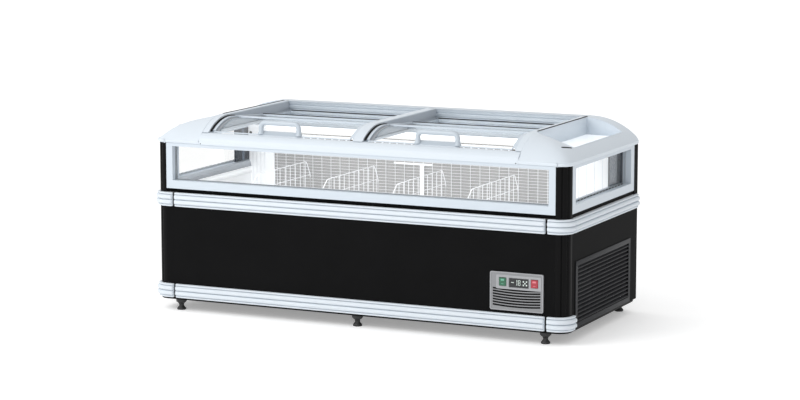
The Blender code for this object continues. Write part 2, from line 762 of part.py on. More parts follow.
def rocker(name, x):
    """Rocker whose two halves lean in towards its middle."""
    face = BEZEL_FACE - 0.003
    outline = [
        (face, SWITCH_Z - 0.0180), (face + 0.002, SWITCH_Z), (face, SWITCH_Z + 0.0180),
        (BEZEL_BACK, SWITCH_Z + 0.0180), (BEZEL_BACK, SWITCH_Z - 0.0180),
    ]
    key = prism(name, [outline], "X", x - 0.0165, x + 0.0165)
    return pivot(key, (x, (BEZEL_FACE + BEZEL_BACK) / 2, SWITCH_Z))


def side_grille():
    """Louvred grille over the machine compartment's air outlet."""
    loops = [rectangle(*GRILLE)]
    for i in range(13):
        z = GRILLE_SLOT_Z + GRILLE_PITCH * i
        loops.append(rectangle(GRILLE_SLOT_Y, (z, z + GRILLE_SLOT_HEIGHT)))
    return prism("side_grille", loops, "X", HALF + GAP, HALF + 0.0035)


def compressor():
    """Hermetic compressor on its foot plate."""
    profile = [
        (0.0, 0.252), (0.045, 0.246), (0.078, 0.222), (0.086, 0.190), (0.086, 0.110), (0.075, 0.075),
        (0.075, 0.062), (0.0, 0.062),
    ]
    shell = turned("compressor", profile, COMPRESSOR_CENTRE, 18)
    plate = box("plate", *COMPRESSOR_PLATE, (Z_BASE + SHEET + GAP, 0.0640))
    return join(shell, plate)


def condenser():
    """Finned block behind the front air slots, with the fan's ring on its back."""
    block = box("condenser", *CONDENSER, (Z_BASE + SHEET + GAP, CONDENSER_TOP))
    ring = cylinder("ring", (FAN_CENTRE.x, -0.280, FAN_CENTRE.z), FAN_RADIUS + 0.008, 0.080, "Y", 24)
    block = cut(block, ring)
    motor = cylinder("motor", (FAN_CENTRE.x, -0.322, FAN_CENTRE.z), 0.030, 0.014, "Y", 16)
    return join(block, motor)


def condenser_fan():
    """Five-bladed fan on a hub."""
    hub = cylinder("condenser_fan", FAN_CENTRE, 0.026, 0.024, "Y", 16)
    for i in range(5):
        blade = box("blade", (0.020, FAN_RADIUS), (-0.0012, 0.0012), (-0.022, 0.022))
        pitch = Matrix.Rotation(math.radians(28), 4, "X")
        spin = Matrix.Rotation(math.radians(72 * i), 4, "Y")
        blade.data.transform(Matrix.Translation(FAN_CENTRE) @ spin @ pitch)
        hub = join(hub, blade)
    return pivot(hub, FAN_CENTRE)


def make_body(look):
    finish(base_frame(), look["black"])
    finish(insulated_tub(), look["liner"])
    finish(front_panel(), look["black"])
    finish(outer_wrap(), look["black"])
    for word, side in (("left", -1), ("right", 1)):
        finish(front_post(f"corner_post_front_{word}", side), look["black"])
        finish(rear_post(f"corner_post_rear_{word}", side), look["black"])
    finish(belt_ring(), look["black"])
    for piece in bumpers():
        finish(piece, look["white"])


def make_rim_and_roof(look):
    finish(glazing_frame(), look["frame"])
    for pane in window_panes():
        finish(pane, look["glass"])
    cap = finish(end_cap(), look["white"])
    finish(mirrored("end_cap_left", cap), look["white"])
    pane = finish(skylight(), look["glass"])
    finish(mirrored("skylight_left", pane), look["glass"])
    finish(front_beam(), look["white"])
    finish(rear_beam(), look["frame"])
    finish(rib("rib_left", -CAP_X, -BAY_OUTER, (1,)), look["white"])
    finish(rib("rib_middle", -MIDDLE_RIB_HALF, MIDDLE_RIB_HALF, (-1, 1)), look["white"])
    finish(rib("rib_right", BAY_OUTER, CAP_X, (-1,)), look["white"])


def make_lids(look):
    for word, side in (("left", -1), ("right", 1)):
        bay = sorted((side * MIDDLE_RIB_HALF, side * BAY_OUTER))
        middle = sum(bay) / 2
        rest = (middle, 0, Z_ROOF)
        frame, glass = front_lid(word, bay)
        finish(pivot(frame, rest), look["frame"])
        finish(pivot(glass, rest), look["glass"])
        finish(pivot(handle(word, middle + HANDLE_SHIFT), rest), look["white"])
        frame, glass = rear_lid(word, bay)
        finish(pivot(frame, rest), look["frame"])
        finish(pivot(glass, rest), look["glass"])


def make_fittings(look):
    for row, feet in (("front", FRONT_FEET), ("rear", REAR_FEET)):
        for word, (x, y) in zip(("left", "center", "right"), feet):
            finish(pivot(levelling_foot(f"foot_{row}_{word}", x, y), (x, y, 0)), look["rubber"])
    for number, x in enumerate(DIVIDERS, 1):
        finish(pivot(divider(f"divider_{number}", x), (x, 0, FLOOR_Z)), look["wire"])
    finish(rear_mesh(), look["wire"])
    finish(control_bezel(), look["grey"])
    finish(display_window(), look["display"])
    for name, x in SWITCHES.items():
        finish(rocker(name, x), look[name])
    finish(side_grille(), look["dark"])
    finish(compressor(), look["black"])
    finish(condenser(), look["steel"])
    finish(condenser_fan(), look["dark"])


collection = clear_scene()
LOOKS = {
    "white": material("white_moulding", (0.80, 0.84, 0.88), 0.38),
    "frame": material("silver_frame", (0.66, 0.71, 0.76), 0.35, 0.3),
    "black": material("black_sheet", (0.012, 0.012, 0.013), 0.30),
    "dark": material("dark_grille", (0.045, 0.047, 0.050), 0.50),
    "grey": material("grey_panel", (0.36, 0.38, 0.40), 0.45),
    "liner": material("white_liner", (0.82, 0.84, 0.85), 0.40),
    "steel": material("galvanised_steel", (0.50, 0.52, 0.54), 0.45, 0.8),
    "glass": material("clear_glass", (0.85, 0.92, 0.92), 0.05, 0.0, 0.2),
    "rubber": material("black_foot", (0.02, 0.02, 0.02), 0.60),
    "wire": material("white_wire", (0.80, 0.81, 0.82), 0.35),
    "display": material("display_window", (0.10, 0.12, 0.12), 0.15),
    "switch_green": material("green_rocker", (0.02, 0.35, 0.14), 0.30),
    "switch_red": material("red_rocker", (0.65, 0.03, 0.03), 0.30),
}
make_body(LOOKS)
make_rim_and_roof(LOOKS)
make_lids(LOOKS)
make_fittings(LOOKS)
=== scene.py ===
"""The looks of the island display chest freezer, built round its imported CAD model.

Metres, in the CAD's frame: +Z up, X along the cabinet, and the customer's front towards -Y.
"""

import math

import bmesh
import bpy
from mathutils import Euler, Matrix, Vector


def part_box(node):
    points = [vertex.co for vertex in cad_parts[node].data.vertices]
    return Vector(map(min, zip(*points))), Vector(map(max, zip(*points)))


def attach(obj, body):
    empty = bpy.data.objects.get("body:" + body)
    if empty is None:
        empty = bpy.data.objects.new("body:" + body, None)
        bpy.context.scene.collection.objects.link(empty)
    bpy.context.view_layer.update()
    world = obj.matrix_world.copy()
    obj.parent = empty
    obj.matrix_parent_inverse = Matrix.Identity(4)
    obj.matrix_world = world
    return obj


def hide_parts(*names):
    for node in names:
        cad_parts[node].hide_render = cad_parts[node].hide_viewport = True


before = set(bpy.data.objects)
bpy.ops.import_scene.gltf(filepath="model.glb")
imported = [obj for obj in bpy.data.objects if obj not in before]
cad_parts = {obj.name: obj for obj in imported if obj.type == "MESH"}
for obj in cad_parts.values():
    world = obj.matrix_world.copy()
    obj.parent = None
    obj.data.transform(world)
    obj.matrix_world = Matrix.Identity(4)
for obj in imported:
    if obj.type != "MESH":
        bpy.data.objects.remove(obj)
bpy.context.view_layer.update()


def span(node):
    """A CAD node's (low, high) along X, Y and Z."""
    low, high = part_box(node)
    return [(low[i], high[i]) for i in range(3)]


# Places taken from the frame.
WRAP_X, WRAP_Y, _ = span("outer_wrap")
HALF = WRAP_X[1]
FRONT = span("front_panel")[1][0]
REAR = WRAP_Y[1]
POST_X, POST_Y, POST_Z = span("corner_post_front_right")
POST_RADIUS = POST_X[1] - POST_X[0]
POST_CENTRE_X = POST_X[0]
POST_FRONT_Y = POST_Y[1]
RIM_Y = span("glazing_frame")[1]
CAP_X, CAP_Y, CAP_Z = span("end_cap_right")
PANE_Z = span("glass_front")[2]
END_PANE_Y = span("glass_right")[1]
BEAM_Y = span("front_beam")[1][0]
GRID_X, (GRID_Y, GRID_BACK), GRID_Z = span("rear_mesh")
RIM_BAND = 0.064
RIM_INSIDE = (RIM_Y[0] + RIM_BAND, RIM_Y[1] - RIM_BAND)
TUB_INSIDE = 0.075
SKIN = 0.0003

# The roof's shape: round to the front and to the ends, as the CAD has it.
ROOF_TOP = CAP_Z[1]
ROOF_Y = -0.225
ROOF_RADIUS = 0.300
LID_RADIUS = 0.291
END_X = 0.812
END_RADIUS = 0.330
CAP_LIP_Z = 0.822
CAP_CORNER = 0.060
CAP_REAR_CORNER = 0.030


# Meshes


FACING_FRONT = Matrix.Rotation(math.pi / 2, 3, "X")


def loft(work, rings, cyclic=True, caps=True):
    """Quads between rings that have the same number of points."""
    rows = [[work.verts.new(point) for point in ring] for ring in rings]
    count = len(rows[0])
    for first, second in zip(rows, rows[1:]):
        for i in range(count if cyclic else count - 1):
            j = (i + 1) % count
            work.faces.new((first[i], first[j], second[j], second[i]))
    if caps:
        work.faces.new(rows[0])
        work.faces.new(rows[-1])
    return rows


def slab(work, x, y, z, bevel=0.0, segments=2):
    """A block between low and high X, Y and Z, with rounded edges."""
    size = Matrix.Diagonal((x[1] - x[0], y[1] - y[0], z[1] - z[0], 1.0))
    place = Matrix.Translation([sum(ends) / 2 for ends in (x, y, z)]) @ size
    corners = bmesh.ops.create_cube(work, size=1.0, matrix=place)["verts"]
    if bevel:
        edges = list({edge for corner in corners for edge in corner.link_edges})
        bmesh.ops.bevel(work, geom=edges, offset=bevel, segments=segments, profile=0.5, affect="EDGES")


def circle(centre, axis, radius, sides):
    """Points round a centre, in the plane square to an axis."""
    turn = axis.to_track_quat("Z", "Y").to_matrix()
    angles = (2 * math.pi * i / sides for i in range(sides))
    return [centre + turn @ Vector((radius * math.cos(a), radius * math.sin(a), 0)) for a in angles]


def rod(work, start, end, radius, sides=8):
    """A straight round wire with flat ends."""
    start, end = Vector(start), Vector(end)
    loft(work, [circle(point, end - start, radius, sides) for point in (start, end)])


def wire_loop(work, points, radius, sides=8):
    """A closed round wire through points that lie in one plane."""
    points = [Vector(point) for point in points]
    neighbours = zip(points[-1:] + points[:-1], points, points[1:] + points[:1])
    rings = [circle(here, after - before, radius, sides) for before, here, after in neighbours]
    loft(work, rings + rings[:1], caps=False)


def turned(work, profile, centre, steps, turn=None):
    """A round piece about an upright axis, or a turned one, from its profile of (radius, height)."""
    centre, turn = Vector(centre), turn or Matrix.Identity(3)
    rings = []
    for i in range(steps + 1):
        angle = 2 * math.pi * i / steps
        ring = [Vector((r * math.cos(angle), r * math.sin(angle), z)) for r, z in profile]
        rings.append([centre + turn @ point for point in ring])
    loft(work, rings, cyclic=False, caps=False)


def arc(centre, radius, start, end, steps):
    """Points of a circular arc in two dimensions, with angles in degrees."""
    angles = (math.radians(start + (end - start) * i / steps) for i in range(steps + 1))
    return [(centre[0] + radius * math.cos(a), centre[1] + radius * math.sin(a)) for a in angles]


def rounded_loop(x, z, radius):
    """A rectangle's outline with rounded corners."""
    (left, right), (low, high) = ((ends[0] + radius, ends[1] - radius) for ends in (x, z))
    points = []
    for centre, start in (((right, low), -90), ((right, high), 0), ((left, high), 90), ((left, low), 180)):
        points += arc(centre, radius, start, start + 90, 4)
    return points


def pressed(name, loops, y):
    """A mesh in the X-Z plane from an outline and its holes, between two depths."""
    curve = bpy.data.curves.new(name, "CURVE")
    curve.dimensions = "2D"
    curve.fill_mode = "BOTH"
    curve.extrude = (y[1] - y[0]) / 2
    for loop in loops:
        spline = curve.splines.new("POLY")
        spline.points.add(len(loop) - 1)
        for point, (u, v) in zip(spline.points, loop):
            point.co = (u, v, 0.0, 1.0)
        spline.use_cyclic_u = True
    source = bpy.data.objects.new(name, curve)
    bpy.context.scene.collection.objects.link(source)
    bpy.context.view_layer.update()
    mesh = bpy.data.meshes.new_from_object(source.evaluated_get(bpy.context.evaluated_depsgraph_get()))
    bpy.data.objects.remove(source)
    mesh.transform(Matrix.Translation((0, sum(y) / 2, 0)) @ Matrix.Rotation(math.radians(90), 4, "X"))
    work = bmesh.new()
    work.from_mesh(mesh)
    return work


def piece(name, work, look, body="cabinet", stands_for=(), sharp=35, mirror=False):
    """Make a finished piece of a mesh; it rides on a CAD body and may stand for CAD nodes."""
    if mirror:
        work.transform(Matrix.Diagonal((-1, 1, 1, 1)))
    bmesh.ops.remove_doubles(work, verts=work.verts, dist=1e-6)
    bmesh.ops.recalc_face_normals(work, faces=work.faces)
    mesh = bpy.data.meshes.new(name)
    work.to_mesh(mesh)
    work.free()
    mesh.materials.append(LOOK[look])
    mesh.shade_smooth()
    mesh.set_sharp_from_angle(angle=math.radians(sharp))
    item = bpy.data.objects.new(name, mesh)
    bpy.context.scene.collection.objects.link(item)
    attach(item, body)
    if stands_for:
        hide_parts(*stands_for)
    return item


def blocks(name, look, boxes, body="cabinet"):
    """A piece made of blocks, each given as slab's x, y, z and rounding."""
    work = bmesh.new()
    for box in boxes:
        slab(work, *box)
    return piece(name, work, look, body)


def shelled(item, thickness, offset):
    """Give a piece made of open sheets a thickness."""
    shell = item.modifiers.new("shell", "SOLIDIFY")
    shell.thickness = thickness
    shell.offset = offset


def both_ends(near, far):
    """The same stretch of X at the left and at the right end."""
    return [(-far, -near), (near, far)]


def soften(item, width, segments=2, angle=30):
    """Round a piece's edges."""
    weld = item.modifiers.new("weld", "WELD")
    weld.merge_threshold = 1e-5
    bevel = item.modifiers.new("soften", "BEVEL")
    bevel.width = width
    bevel.segments = segments
    bevel.limit_method = "ANGLE"
    bevel.angle_limit = math.radians(angle)
    bevel.harden_normals = True


# Materials


def node_of(tree, kind, links=(), **values):
    """A shader node with its values set and its inputs linked to other nodes' sockets."""
    made = tree.nodes.new(kind)
    for key, value in values.items():
        if key in made.inputs:
            made.inputs[key].default_value = value
        else:
            setattr(made, key, value)
    for socket, source in links:
        tree.links.new(source, made.inputs[socket])
    return made


def fill(node, values):
    """Set a shader node's inputs, by their names or numbers."""
    for socket, value in values.items():
        node.inputs[socket].default_value = value


def new_material(name):
    made = bpy.data.materials.new(name)
    made.use_nodes = True
    tree = made.node_tree
    tree.nodes.clear()
    output = tree.nodes.new("ShaderNodeOutputMaterial")
    return made, tree, output


def noise(tree, scale, detail=3.0, stretch=(1, 1, 1)):
    """Cloudy noise in the object's own metres."""
    place = tree.nodes.new("ShaderNodeTexCoord").outputs["Object"]
    mapping = node_of(tree, "ShaderNodeMapping", [("Vector", place)], Scale=stretch)
    made = node_of(tree, "ShaderNodeTexNoise", [("Vector", mapping.outputs[0])], Scale=scale, Detail=detail)
    return made.outputs["Fac"]


def painted(name, colour, roughness, cloud=0.04, grain=0.10, grain_scale=900.0, metallic=0.0, specular=0.5,
            stretch=(1, 1, 1), coat=0.0, glow=0.0):
    """Paint, enamel or plastic: a faintly uneven colour and gloss over a fine grain."""
    made, tree, output = new_material(name)
    broad = noise(tree, 7.0, 4.0, stretch)
    fine = noise(tree, grain_scale, 2.0, stretch)
    darker = tuple(c * (1 - cloud) for c in colour) + (1.0,)
    lighter = tuple(min(1.0, c * (1 + cloud)) for c in colour) + (1.0,)
    tint = node_of(tree, "ShaderNodeMix", [(0, broad)], data_type="RGBA")
    fill(tint, {6: darker, 7: lighter})
    gloss = node_of(tree, "ShaderNodeMapRange", [("Value", fine)])
    fill(gloss, {"To Min": roughness * 0.85, "To Max": min(1.0, roughness * 1.15)})
    bump = node_of(tree, "ShaderNodeBump", [("Height", fine)], Strength=grain, Distance=0.0004)
    shader = node_of(
        tree, "ShaderNodeBsdfPrincipled",
        [("Base Color", tint.outputs[2]), ("Roughness", gloss.outputs[0]), ("Normal", bump.outputs[0])],
        Metallic=metallic,
    )
    fill(shader, {"Specular IOR Level": specular, "Coat Weight": coat})
    # Emission in the paint's own colour. On the liner, the wires and the pale panels it is painted light, a
    # glow that stands in for light reaching them; on the lamp cover and the floor it is their own light.
    fill(shader, {"Emission Color": (*colour, 1.0), "Emission Strength": glow})
    tree.links.new(shader.outputs[0], output.inputs["Surface"])
    return made


def glazing(name, tint, shine, haze=0.0):
    """Clear or milky glass: light passes through it, and it mirrors more at a slant. Milky glass also glows
    faintly, painted light that whitens it.
    """
    made, tree, output = new_material(name)
    through = node_of(tree, "ShaderNodeBsdfTransparent", Color=(*tint, 1.0))
    smear = noise(tree, 4.0)
    rough = node_of(tree, "ShaderNodeMapRange", [("Value", smear)])
    fill(rough, {"To Min": 0.02, "To Max": 0.06})
    mirror = node_of(tree, "ShaderNodeBsdfGlossy", [("Roughness", rough.outputs[0])])
    slant = node_of(tree, "ShaderNodeFresnel", IOR=1.45)
    share = node_of(tree, "ShaderNodeMath", [(0, slant.outputs[0])], operation="MULTIPLY")
    fill(share, {1: shine})
    body = through
    if haze:
        milk = node_of(tree, "ShaderNodeBsdfPrincipled", Roughness=0.6)
        fill(milk, {"Base Color": (0.93, 0.95, 0.97, 1)})
        # The milk's glow is painted light that brightens the milky pane.
        fill(milk, {"Emission Color": (0.9, 0.95, 1, 1), "Emission Strength": 0.42})
        body = node_of(tree, "ShaderNodeMixShader", [(1, through.outputs[0]), (2, milk.outputs[0])])
        fill(body, {0: haze})
    layers = [(0, share.outputs[0]), (1, body.outputs[0]), (2, mirror.outputs[0])]
    mixed = node_of(tree, "ShaderNodeMixShader", layers)
    tree.links.new(mixed.outputs[0], output.inputs["Surface"])
    return made


# Each paint: its colour, its roughness, and what differs from the usual.
PAINTS = {
    "white": ((0.63, 0.685, 0.74), 0.45, dict(cloud=0.02, specular=0.3)),
    "frame": ((0.56, 0.62, 0.68), 0.34, dict(cloud=0.02, grain=0.05, stretch=(0.1, 0.1, 1))),
    "silver": ((0.50, 0.555, 0.61), 0.30, dict(metallic=0.25, stretch=(0.05, 1, 1))),
    "bumper": ((0.65, 0.70, 0.75), 0.48, dict(cloud=0.02, grain=0.14, specular=0.3)),
    "black": ((0.0040, 0.0040, 0.0043), 0.38, dict(cloud=0.25, grain=0.12, specular=0.05)),
    "wrap": ((0.0035, 0.0035, 0.0038), 0.42, dict(cloud=0.25, grain=0.12, specular=0.012)),
    "post": ((0.0038, 0.0038, 0.0041), 0.26, dict(cloud=0.2, specular=0.07)),
    "seal": ((0.006, 0.006, 0.0065), 0.70, dict(cloud=0.2, specular=0.12)),
    "dark": ((0.021, 0.022, 0.025), 0.50, dict(cloud=0.1, grain=0.2, specular=0.15)),
    "grey": ((0.235, 0.24, 0.25), 0.45, dict(cloud=0.05, grain=0.25, grain_scale=1500)),
    # The liner glows a little: painted light that brightens the inside of the tub.
    "liner": ((0.90, 0.91, 0.92), 0.45, dict(cloud=0.015, glow=0.12)),
    "steel": ((0.42, 0.44, 0.46), 0.42, dict(cloud=0.15, metallic=0.8)),
    # The wires glow: painted light that keeps them bright inside the tub.
    "wire": ((0.88, 0.885, 0.90), 0.35, dict(cloud=0.02, glow=0.25)),
    "rubber": ((0.020, 0.020, 0.021), 0.60, dict(cloud=0.2)),
    "enamel": ((0.012, 0.012, 0.013), 0.30, dict(cloud=0.2)),
    "slate": ((0.030, 0.038, 0.052), 0.45, dict(cloud=0.08)),
    "window": ((0.012, 0.014, 0.015), 0.12, dict(cloud=0.1, grain=0.02)),
    "digit": ((0.62, 0.70, 0.66), 0.40, dict(cloud=0.02)),
    # The lens colours, lighter than their keys, are partly painted highlights.
    "green": ((0.008, 0.11, 0.050), 0.22, dict(cloud=0.1, coat=0.5)),
    "green_lens_highlight": ((0.10, 0.36, 0.24), 0.15, dict(cloud=0.05, coat=0.8)),
    "red": ((0.34, 0.016, 0.030), 0.22, dict(cloud=0.1, coat=0.5)),
    "red_lens_highlight": ((0.66, 0.15, 0.19), 0.15, dict(cloud=0.05, coat=0.8)),
    "handle": ((0.47, 0.525, 0.58), 0.30, dict(cloud=0.02, coat=0.3)),
    "grey_light": ((0.33, 0.335, 0.35), 0.42, dict(cloud=0.05, grain=0.25, grain_scale=1500)),
    "duct": ((0.47, 0.46, 0.455), 0.5, dict(cloud=0.10)),
    "sill": ((0.50, 0.53, 0.57), 0.45, {}),
    "slate_light": ((0.11, 0.14, 0.185), 0.40, dict(cloud=0.08)),
    "border": ((0.24, 0.26, 0.285), 0.30, dict(cloud=0.05)),
    "track": ((0.46, 0.50, 0.55), 0.32, dict(cloud=0.08, metallic=0.2, stretch=(1, 0.05, 1))),
    "lamp": ((0.95, 0.96, 0.97), 0.40, dict(cloud=0.01, glow=0.75)),
    # The pale panels glow: painted light that keeps them bright under the rim.
    "pale": ((0.90, 0.91, 0.92), 0.45, dict(cloud=0.015, glow=0.28)),
    "gasket": ((0.27, 0.29, 0.31), 0.6, dict(cloud=0.1)),
    "brown": ((0.10, 0.075, 0.06), 0.6, dict(cloud=0.15)),
}
LOOK = {name: painted(name, *paint[:2], **paint[2]) for name, paint in PAINTS.items()}
LOOK["glass"] = glazing("clear_glass", (0.998, 1.0, 0.999), 0.18)
# The milky skylight glows a little: painted light.
LOOK["skylight"] = glazing("milky_skylight", (0.99, 0.995, 0.995), 0.4, haze=0.75)


def dress_nodes():
    """Give every CAD node its own material, and round the edges of the ones that stay."""
    looks = {
        "base_frame": "black", "insulated_tub": "liner", "front_panel": "black", "outer_wrap": "wrap",
        "belt_ring": "wrap", "glazing_frame": "frame", "front_beam": "white", "rear_beam": "silver",
        "rib": "white", "front_lid_frame": "frame", "rear_lid_frame": "silver", "compressor": "enamel",
        "condenser": "steel", "condenser_fan": "dark", "display": "window", "rear_mesh": "wire",
        "divider": "wire", "corner_post": "post", "corner_post_rear": "wrap",
        "upper_bumper": "bumper", "lower_bumper": "bumper",
        "end_cap": "white", "control_bezel": "grey", "side_grille": "dark", "foot": "rubber",
        "handle": "white", "switch_green": "green", "switch_red": "red", "glass": "glass",
        "front_lid_glass": "glass", "rear_lid_glass": "glass", "skylight": "skylight",
    }
    rounded = {
        "glazing_frame": 0.0012, "rib": 0.0025, "front_beam": 0.0010, "rear_beam": 0.0012,
        "front_lid_frame": 0.0014, "rear_lid_frame": 0.0012, "belt_ring": 0.0015, "front_panel": 0.0006,
    }
    for name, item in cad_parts.items():
        start = max((key for key in looks if name.startswith(key)), key=len)
        look = LOOK[looks[start]]
        item.data.materials.clear()
        item.data.materials.append(look)
        if start in rounded:
            soften(item, rounded[start])


dress_nodes()


# Bumpers


UPPER_Z, LOWER_Z = (span(f"{row}_bumper_front")[2] for row in ("upper", "lower"))
BUMPER_HEIGHT = UPPER_Z[1] - UPPER_Z[0]
DRAWN_HEIGHT = 0.067
END_ROUND = 0.010
CORNER_LEAD = POST_CENTRE_X - span("upper_bumper_corner_right")[0][0]


def bumper_profile():
    """(reach, height) up the bumper's face: two full lobes between two slim lips."""
    lobes = (  # low, high, reach, and the depth of the grooves on both sides of it
        (0.000, 0.0095, 0.0115, 0.0050, 0.0045), (0.0106, 0.0328, 0.0200, 0.0045, 0.0060),
        (0.0343, 0.0563, 0.0200, 0.0060, 0.0045), (0.0574, 0.0670, 0.0135, 0.0045, 0.0040),
    )
    steps = 10
    points = []
    for low, high, reach, depth_low, depth_high in lobes:
        for i in range(steps + 1):
            t = -math.cos(math.pi * i / steps)
            base = depth_low + (depth_high - depth_low) * i / steps
            swell = (1 - abs(t) ** 2.6) ** (1 / 2.6)
            height = (low + high) / 2 + t * (high - low) / 2
            points.append((base + (reach - base) * swell, height * BUMPER_HEIGHT / DRAWN_HEIGHT))
    return points


def straight_run(start, end, outward):
    """A run's length, its function from distance to (x, y, outward x, outward y), and its stops."""
    start, end = Vector(start), Vector(end)
    length = (end - start).length

    def at(distance):
        point = start + (end - start) * distance / length
        return point.x, point.y, *outward

    return length, at, []


def corner_run(side, tail):
    """The run round a front corner: straight, a quarter turn, then a tail along the end."""
    turn_length = math.pi / 2 * POST_RADIUS
    length = CORNER_LEAD + turn_length + tail
    steps = 14

    def at(distance):
        if distance < CORNER_LEAD:
            return side * (POST_CENTRE_X - CORNER_LEAD + distance), FRONT, 0, -1
        angle = min((distance - CORNER_LEAD) / POST_RADIUS, math.pi / 2)
        out_x, out_y = math.sin(angle), -math.cos(angle)
        beyond = max(0.0, distance - CORNER_LEAD - turn_length)
        x = POST_CENTRE_X + POST_RADIUS * out_x
        return side * x, POST_FRONT_Y + POST_RADIUS * out_y + beyond, side * out_x, out_y

    return length, at, [CORNER_LEAD + turn_length * i / steps for i in range(steps + 1)]


def bumper(node, run, bottom):
    """A bumper rail along a run, rounded off at both ends."""
    length, at, stops = run
    near = (0.0, 0.0004, 0.0012, 0.0026, 0.0048, 0.0075, END_ROUND)
    stops = [s for s in stops if END_ROUND < s < length - END_ROUND]
    middle = BUMPER_HEIGHT / 2
    outline = [(SKIN, -middle), *((reach, z - middle) for reach, z in bumper_profile()), (SKIN, middle)]
    rings = []
    for distance in sorted([*near, *stops, *(length - d for d in near)]):
        x, y, out_x, out_y = at(distance)
        inside = min(distance, length - distance, END_ROUND) / END_ROUND
        full = math.sqrt(max(0.0, 1 - (1 - inside) ** 2))
        slim, low = 0.30 + 0.70 * full, 0.93 + 0.07 * full
        ring = []
        for reach, height in outline:
            out = SKIN + (reach - SKIN) * slim
            ring.append((x + out_x * out, y + out_y * out, bottom + middle + height * low))
        rings.append(ring)
    work = bmesh.new()
    loft(work, rings)
    piece(f"{node}_look", work, "bumper", stands_for=[node], sharp=50)


def bumpers():
    reach_x = span("upper_bumper_front")[0][1]
    for row, bottom in (("upper", UPPER_Z[0]), ("lower", LOWER_Z[0])):
        front = straight_run((-reach_x, FRONT), (reach_x, FRONT), (0, -1))
        bumper(f"{row}_bumper_front", front, bottom)
        for word, side in (("left", -1), ("right", 1)):
            node = f"{row}_bumper_corner_{word}"
            bumper(node, corner_run(side, span(node)[1][1] - POST_FRONT_Y), bottom)
    for word, side in (("left", -1), ("right", 1)):
        node = f"upper_bumper_{word}"
        low, high = span(node)[1]
        bumper(node, straight_run((side * HALF, low), (side * HALF, high), (side, 0)), UPPER_Z[0])


bumpers()


# End caps


def fall(distance, radius):
    """How far a round edge has fallen at a distance past where it starts."""
    past = min(max(0.0, distance), radius * 0.999)
    return radius - math.sqrt(radius**2 - past**2)


def roof_drop(x, y):
    """How far the roof has fallen at a point: a smooth blend of its front and end rounding."""
    front, end = fall(ROOF_Y - y, ROOF_RADIUS), fall(x - END_X, END_RADIUS)
    blend = 3.2
    return (front**blend + end**blend) ** (1 / blend)


def cap_edge_x(y):
    """Where the cap ends along X: its plan has round corners."""
    corner = CAP_CORNER if y < 0 else CAP_REAR_CORNER
    past = max(CAP_Y[0] + corner - y, y - CAP_Y[1] + corner, 0.0)
    return CAP_X[1] - corner + math.sqrt(max(0.0, corner**2 - past**2))


def cap_outward(x, y):
    """The direction out of the cap at a point on its outline."""
    corner = CAP_CORNER if y < 0 else CAP_REAR_CORNER
    centre = min(x, CAP_X[1] - corner), min(max(y, CAP_Y[0] + corner), CAP_Y[1] - corner)
    return Vector((x - centre[0], y - centre[1])).normalized()


WELL_X, WELL_Y, SKYLIGHT_Z = span("skylight_right")
WELL_SKEW = (-0.004, -0.014)
FRONT_ROWS, WELL_ROWS, REAR_ROWS = 22, 14, 12
WELL_COLUMNS, OUTER_COLUMNS = 8, 12


def well_y(x, end):
    """The well's front (0) or rear (1) edge at a given X."""
    t = min(1.0, (x - WELL_X[0]) / (WELL_X[1] - WELL_X[0]))
    return WELL_Y[end] + WELL_SKEW[end] * t


def spaced(count, crowd=None):
    """Steps from 0 to 1, closer together at the low or the high end if that is asked for."""
    steps = [i / count for i in range(count + 1)]
    if crowd == "low":
        return [1 - math.cos(math.pi / 2 * s) for s in steps]
    return [math.sin(math.pi / 2 * s) for s in steps] if crowd == "high" else steps


def cap_height(x, y, section, s):
    """The cap's surface. Next to the well it eases into the well's straight front and rear edges."""
    arched = ROOF_TOP - roof_drop(x, y)
    if section != 1 and x < WELL_X[1]:
        edge = 0 if section == 0 else 1
        t = max(0.0, (x - WELL_X[0]) / (WELL_X[1] - WELL_X[0]))
        ends = [ROOF_TOP - roof_drop(u, well_y(u, edge)) for u in WELL_X]
        straight = ends[0] + (ends[1] - ends[0]) * t
        lift = straight - (ROOF_TOP - roof_drop(x, well_y(x, edge)))
        arched += lift * (s if section == 0 else 1 - s) ** 2
    return max(arched, CAP_LIP_Z)


def cap_surface(work):
    """The cap's top as a grid of quads in front of, beside and behind the well."""
    columns = [("x", CAP_X[0])]
    columns += [("x", WELL_X[0] + (WELL_X[1] - WELL_X[0]) * s) for s in spaced(WELL_COLUMNS)]
    columns += [("s", s) for s in spaced(OUTER_COLUMNS, crowd="high")[1:]]
    rows = [(0, s) for s in spaced(FRONT_ROWS, crowd="low")] + [(1, s) for s in spaced(WELL_ROWS)[1:]]
    rows += [(2, s) for s in spaced(REAR_ROWS, crowd="high")[1:]]
    grid = []
    for section, s in rows:
        line = []
        for kind, value in columns:
            x = value if kind == "x" else WELL_X[1]
            bounds = (CAP_Y[0], well_y(x, 0), well_y(x, 1), CAP_Y[1])
            y = bounds[section] + (bounds[section + 1] - bounds[section]) * s
            if kind == "s":
                x = WELL_X[1] + (cap_edge_x(y) - WELL_X[1]) * value
            line.append(work.verts.new((x, y, cap_height(x, y, section, s))))
        grid.append(line)
    well_rows = range(FRONT_ROWS, FRONT_ROWS + WELL_ROWS)
    well_columns = range(1, 1 + WELL_COLUMNS)
    for j in range(len(rows) - 1):
        for i in range(len(columns) - 1):
            if not (j in well_rows and i in well_columns):
                work.faces.new((grid[j][i], grid[j][i + 1], grid[j + 1][i + 1], grid[j + 1][i]))


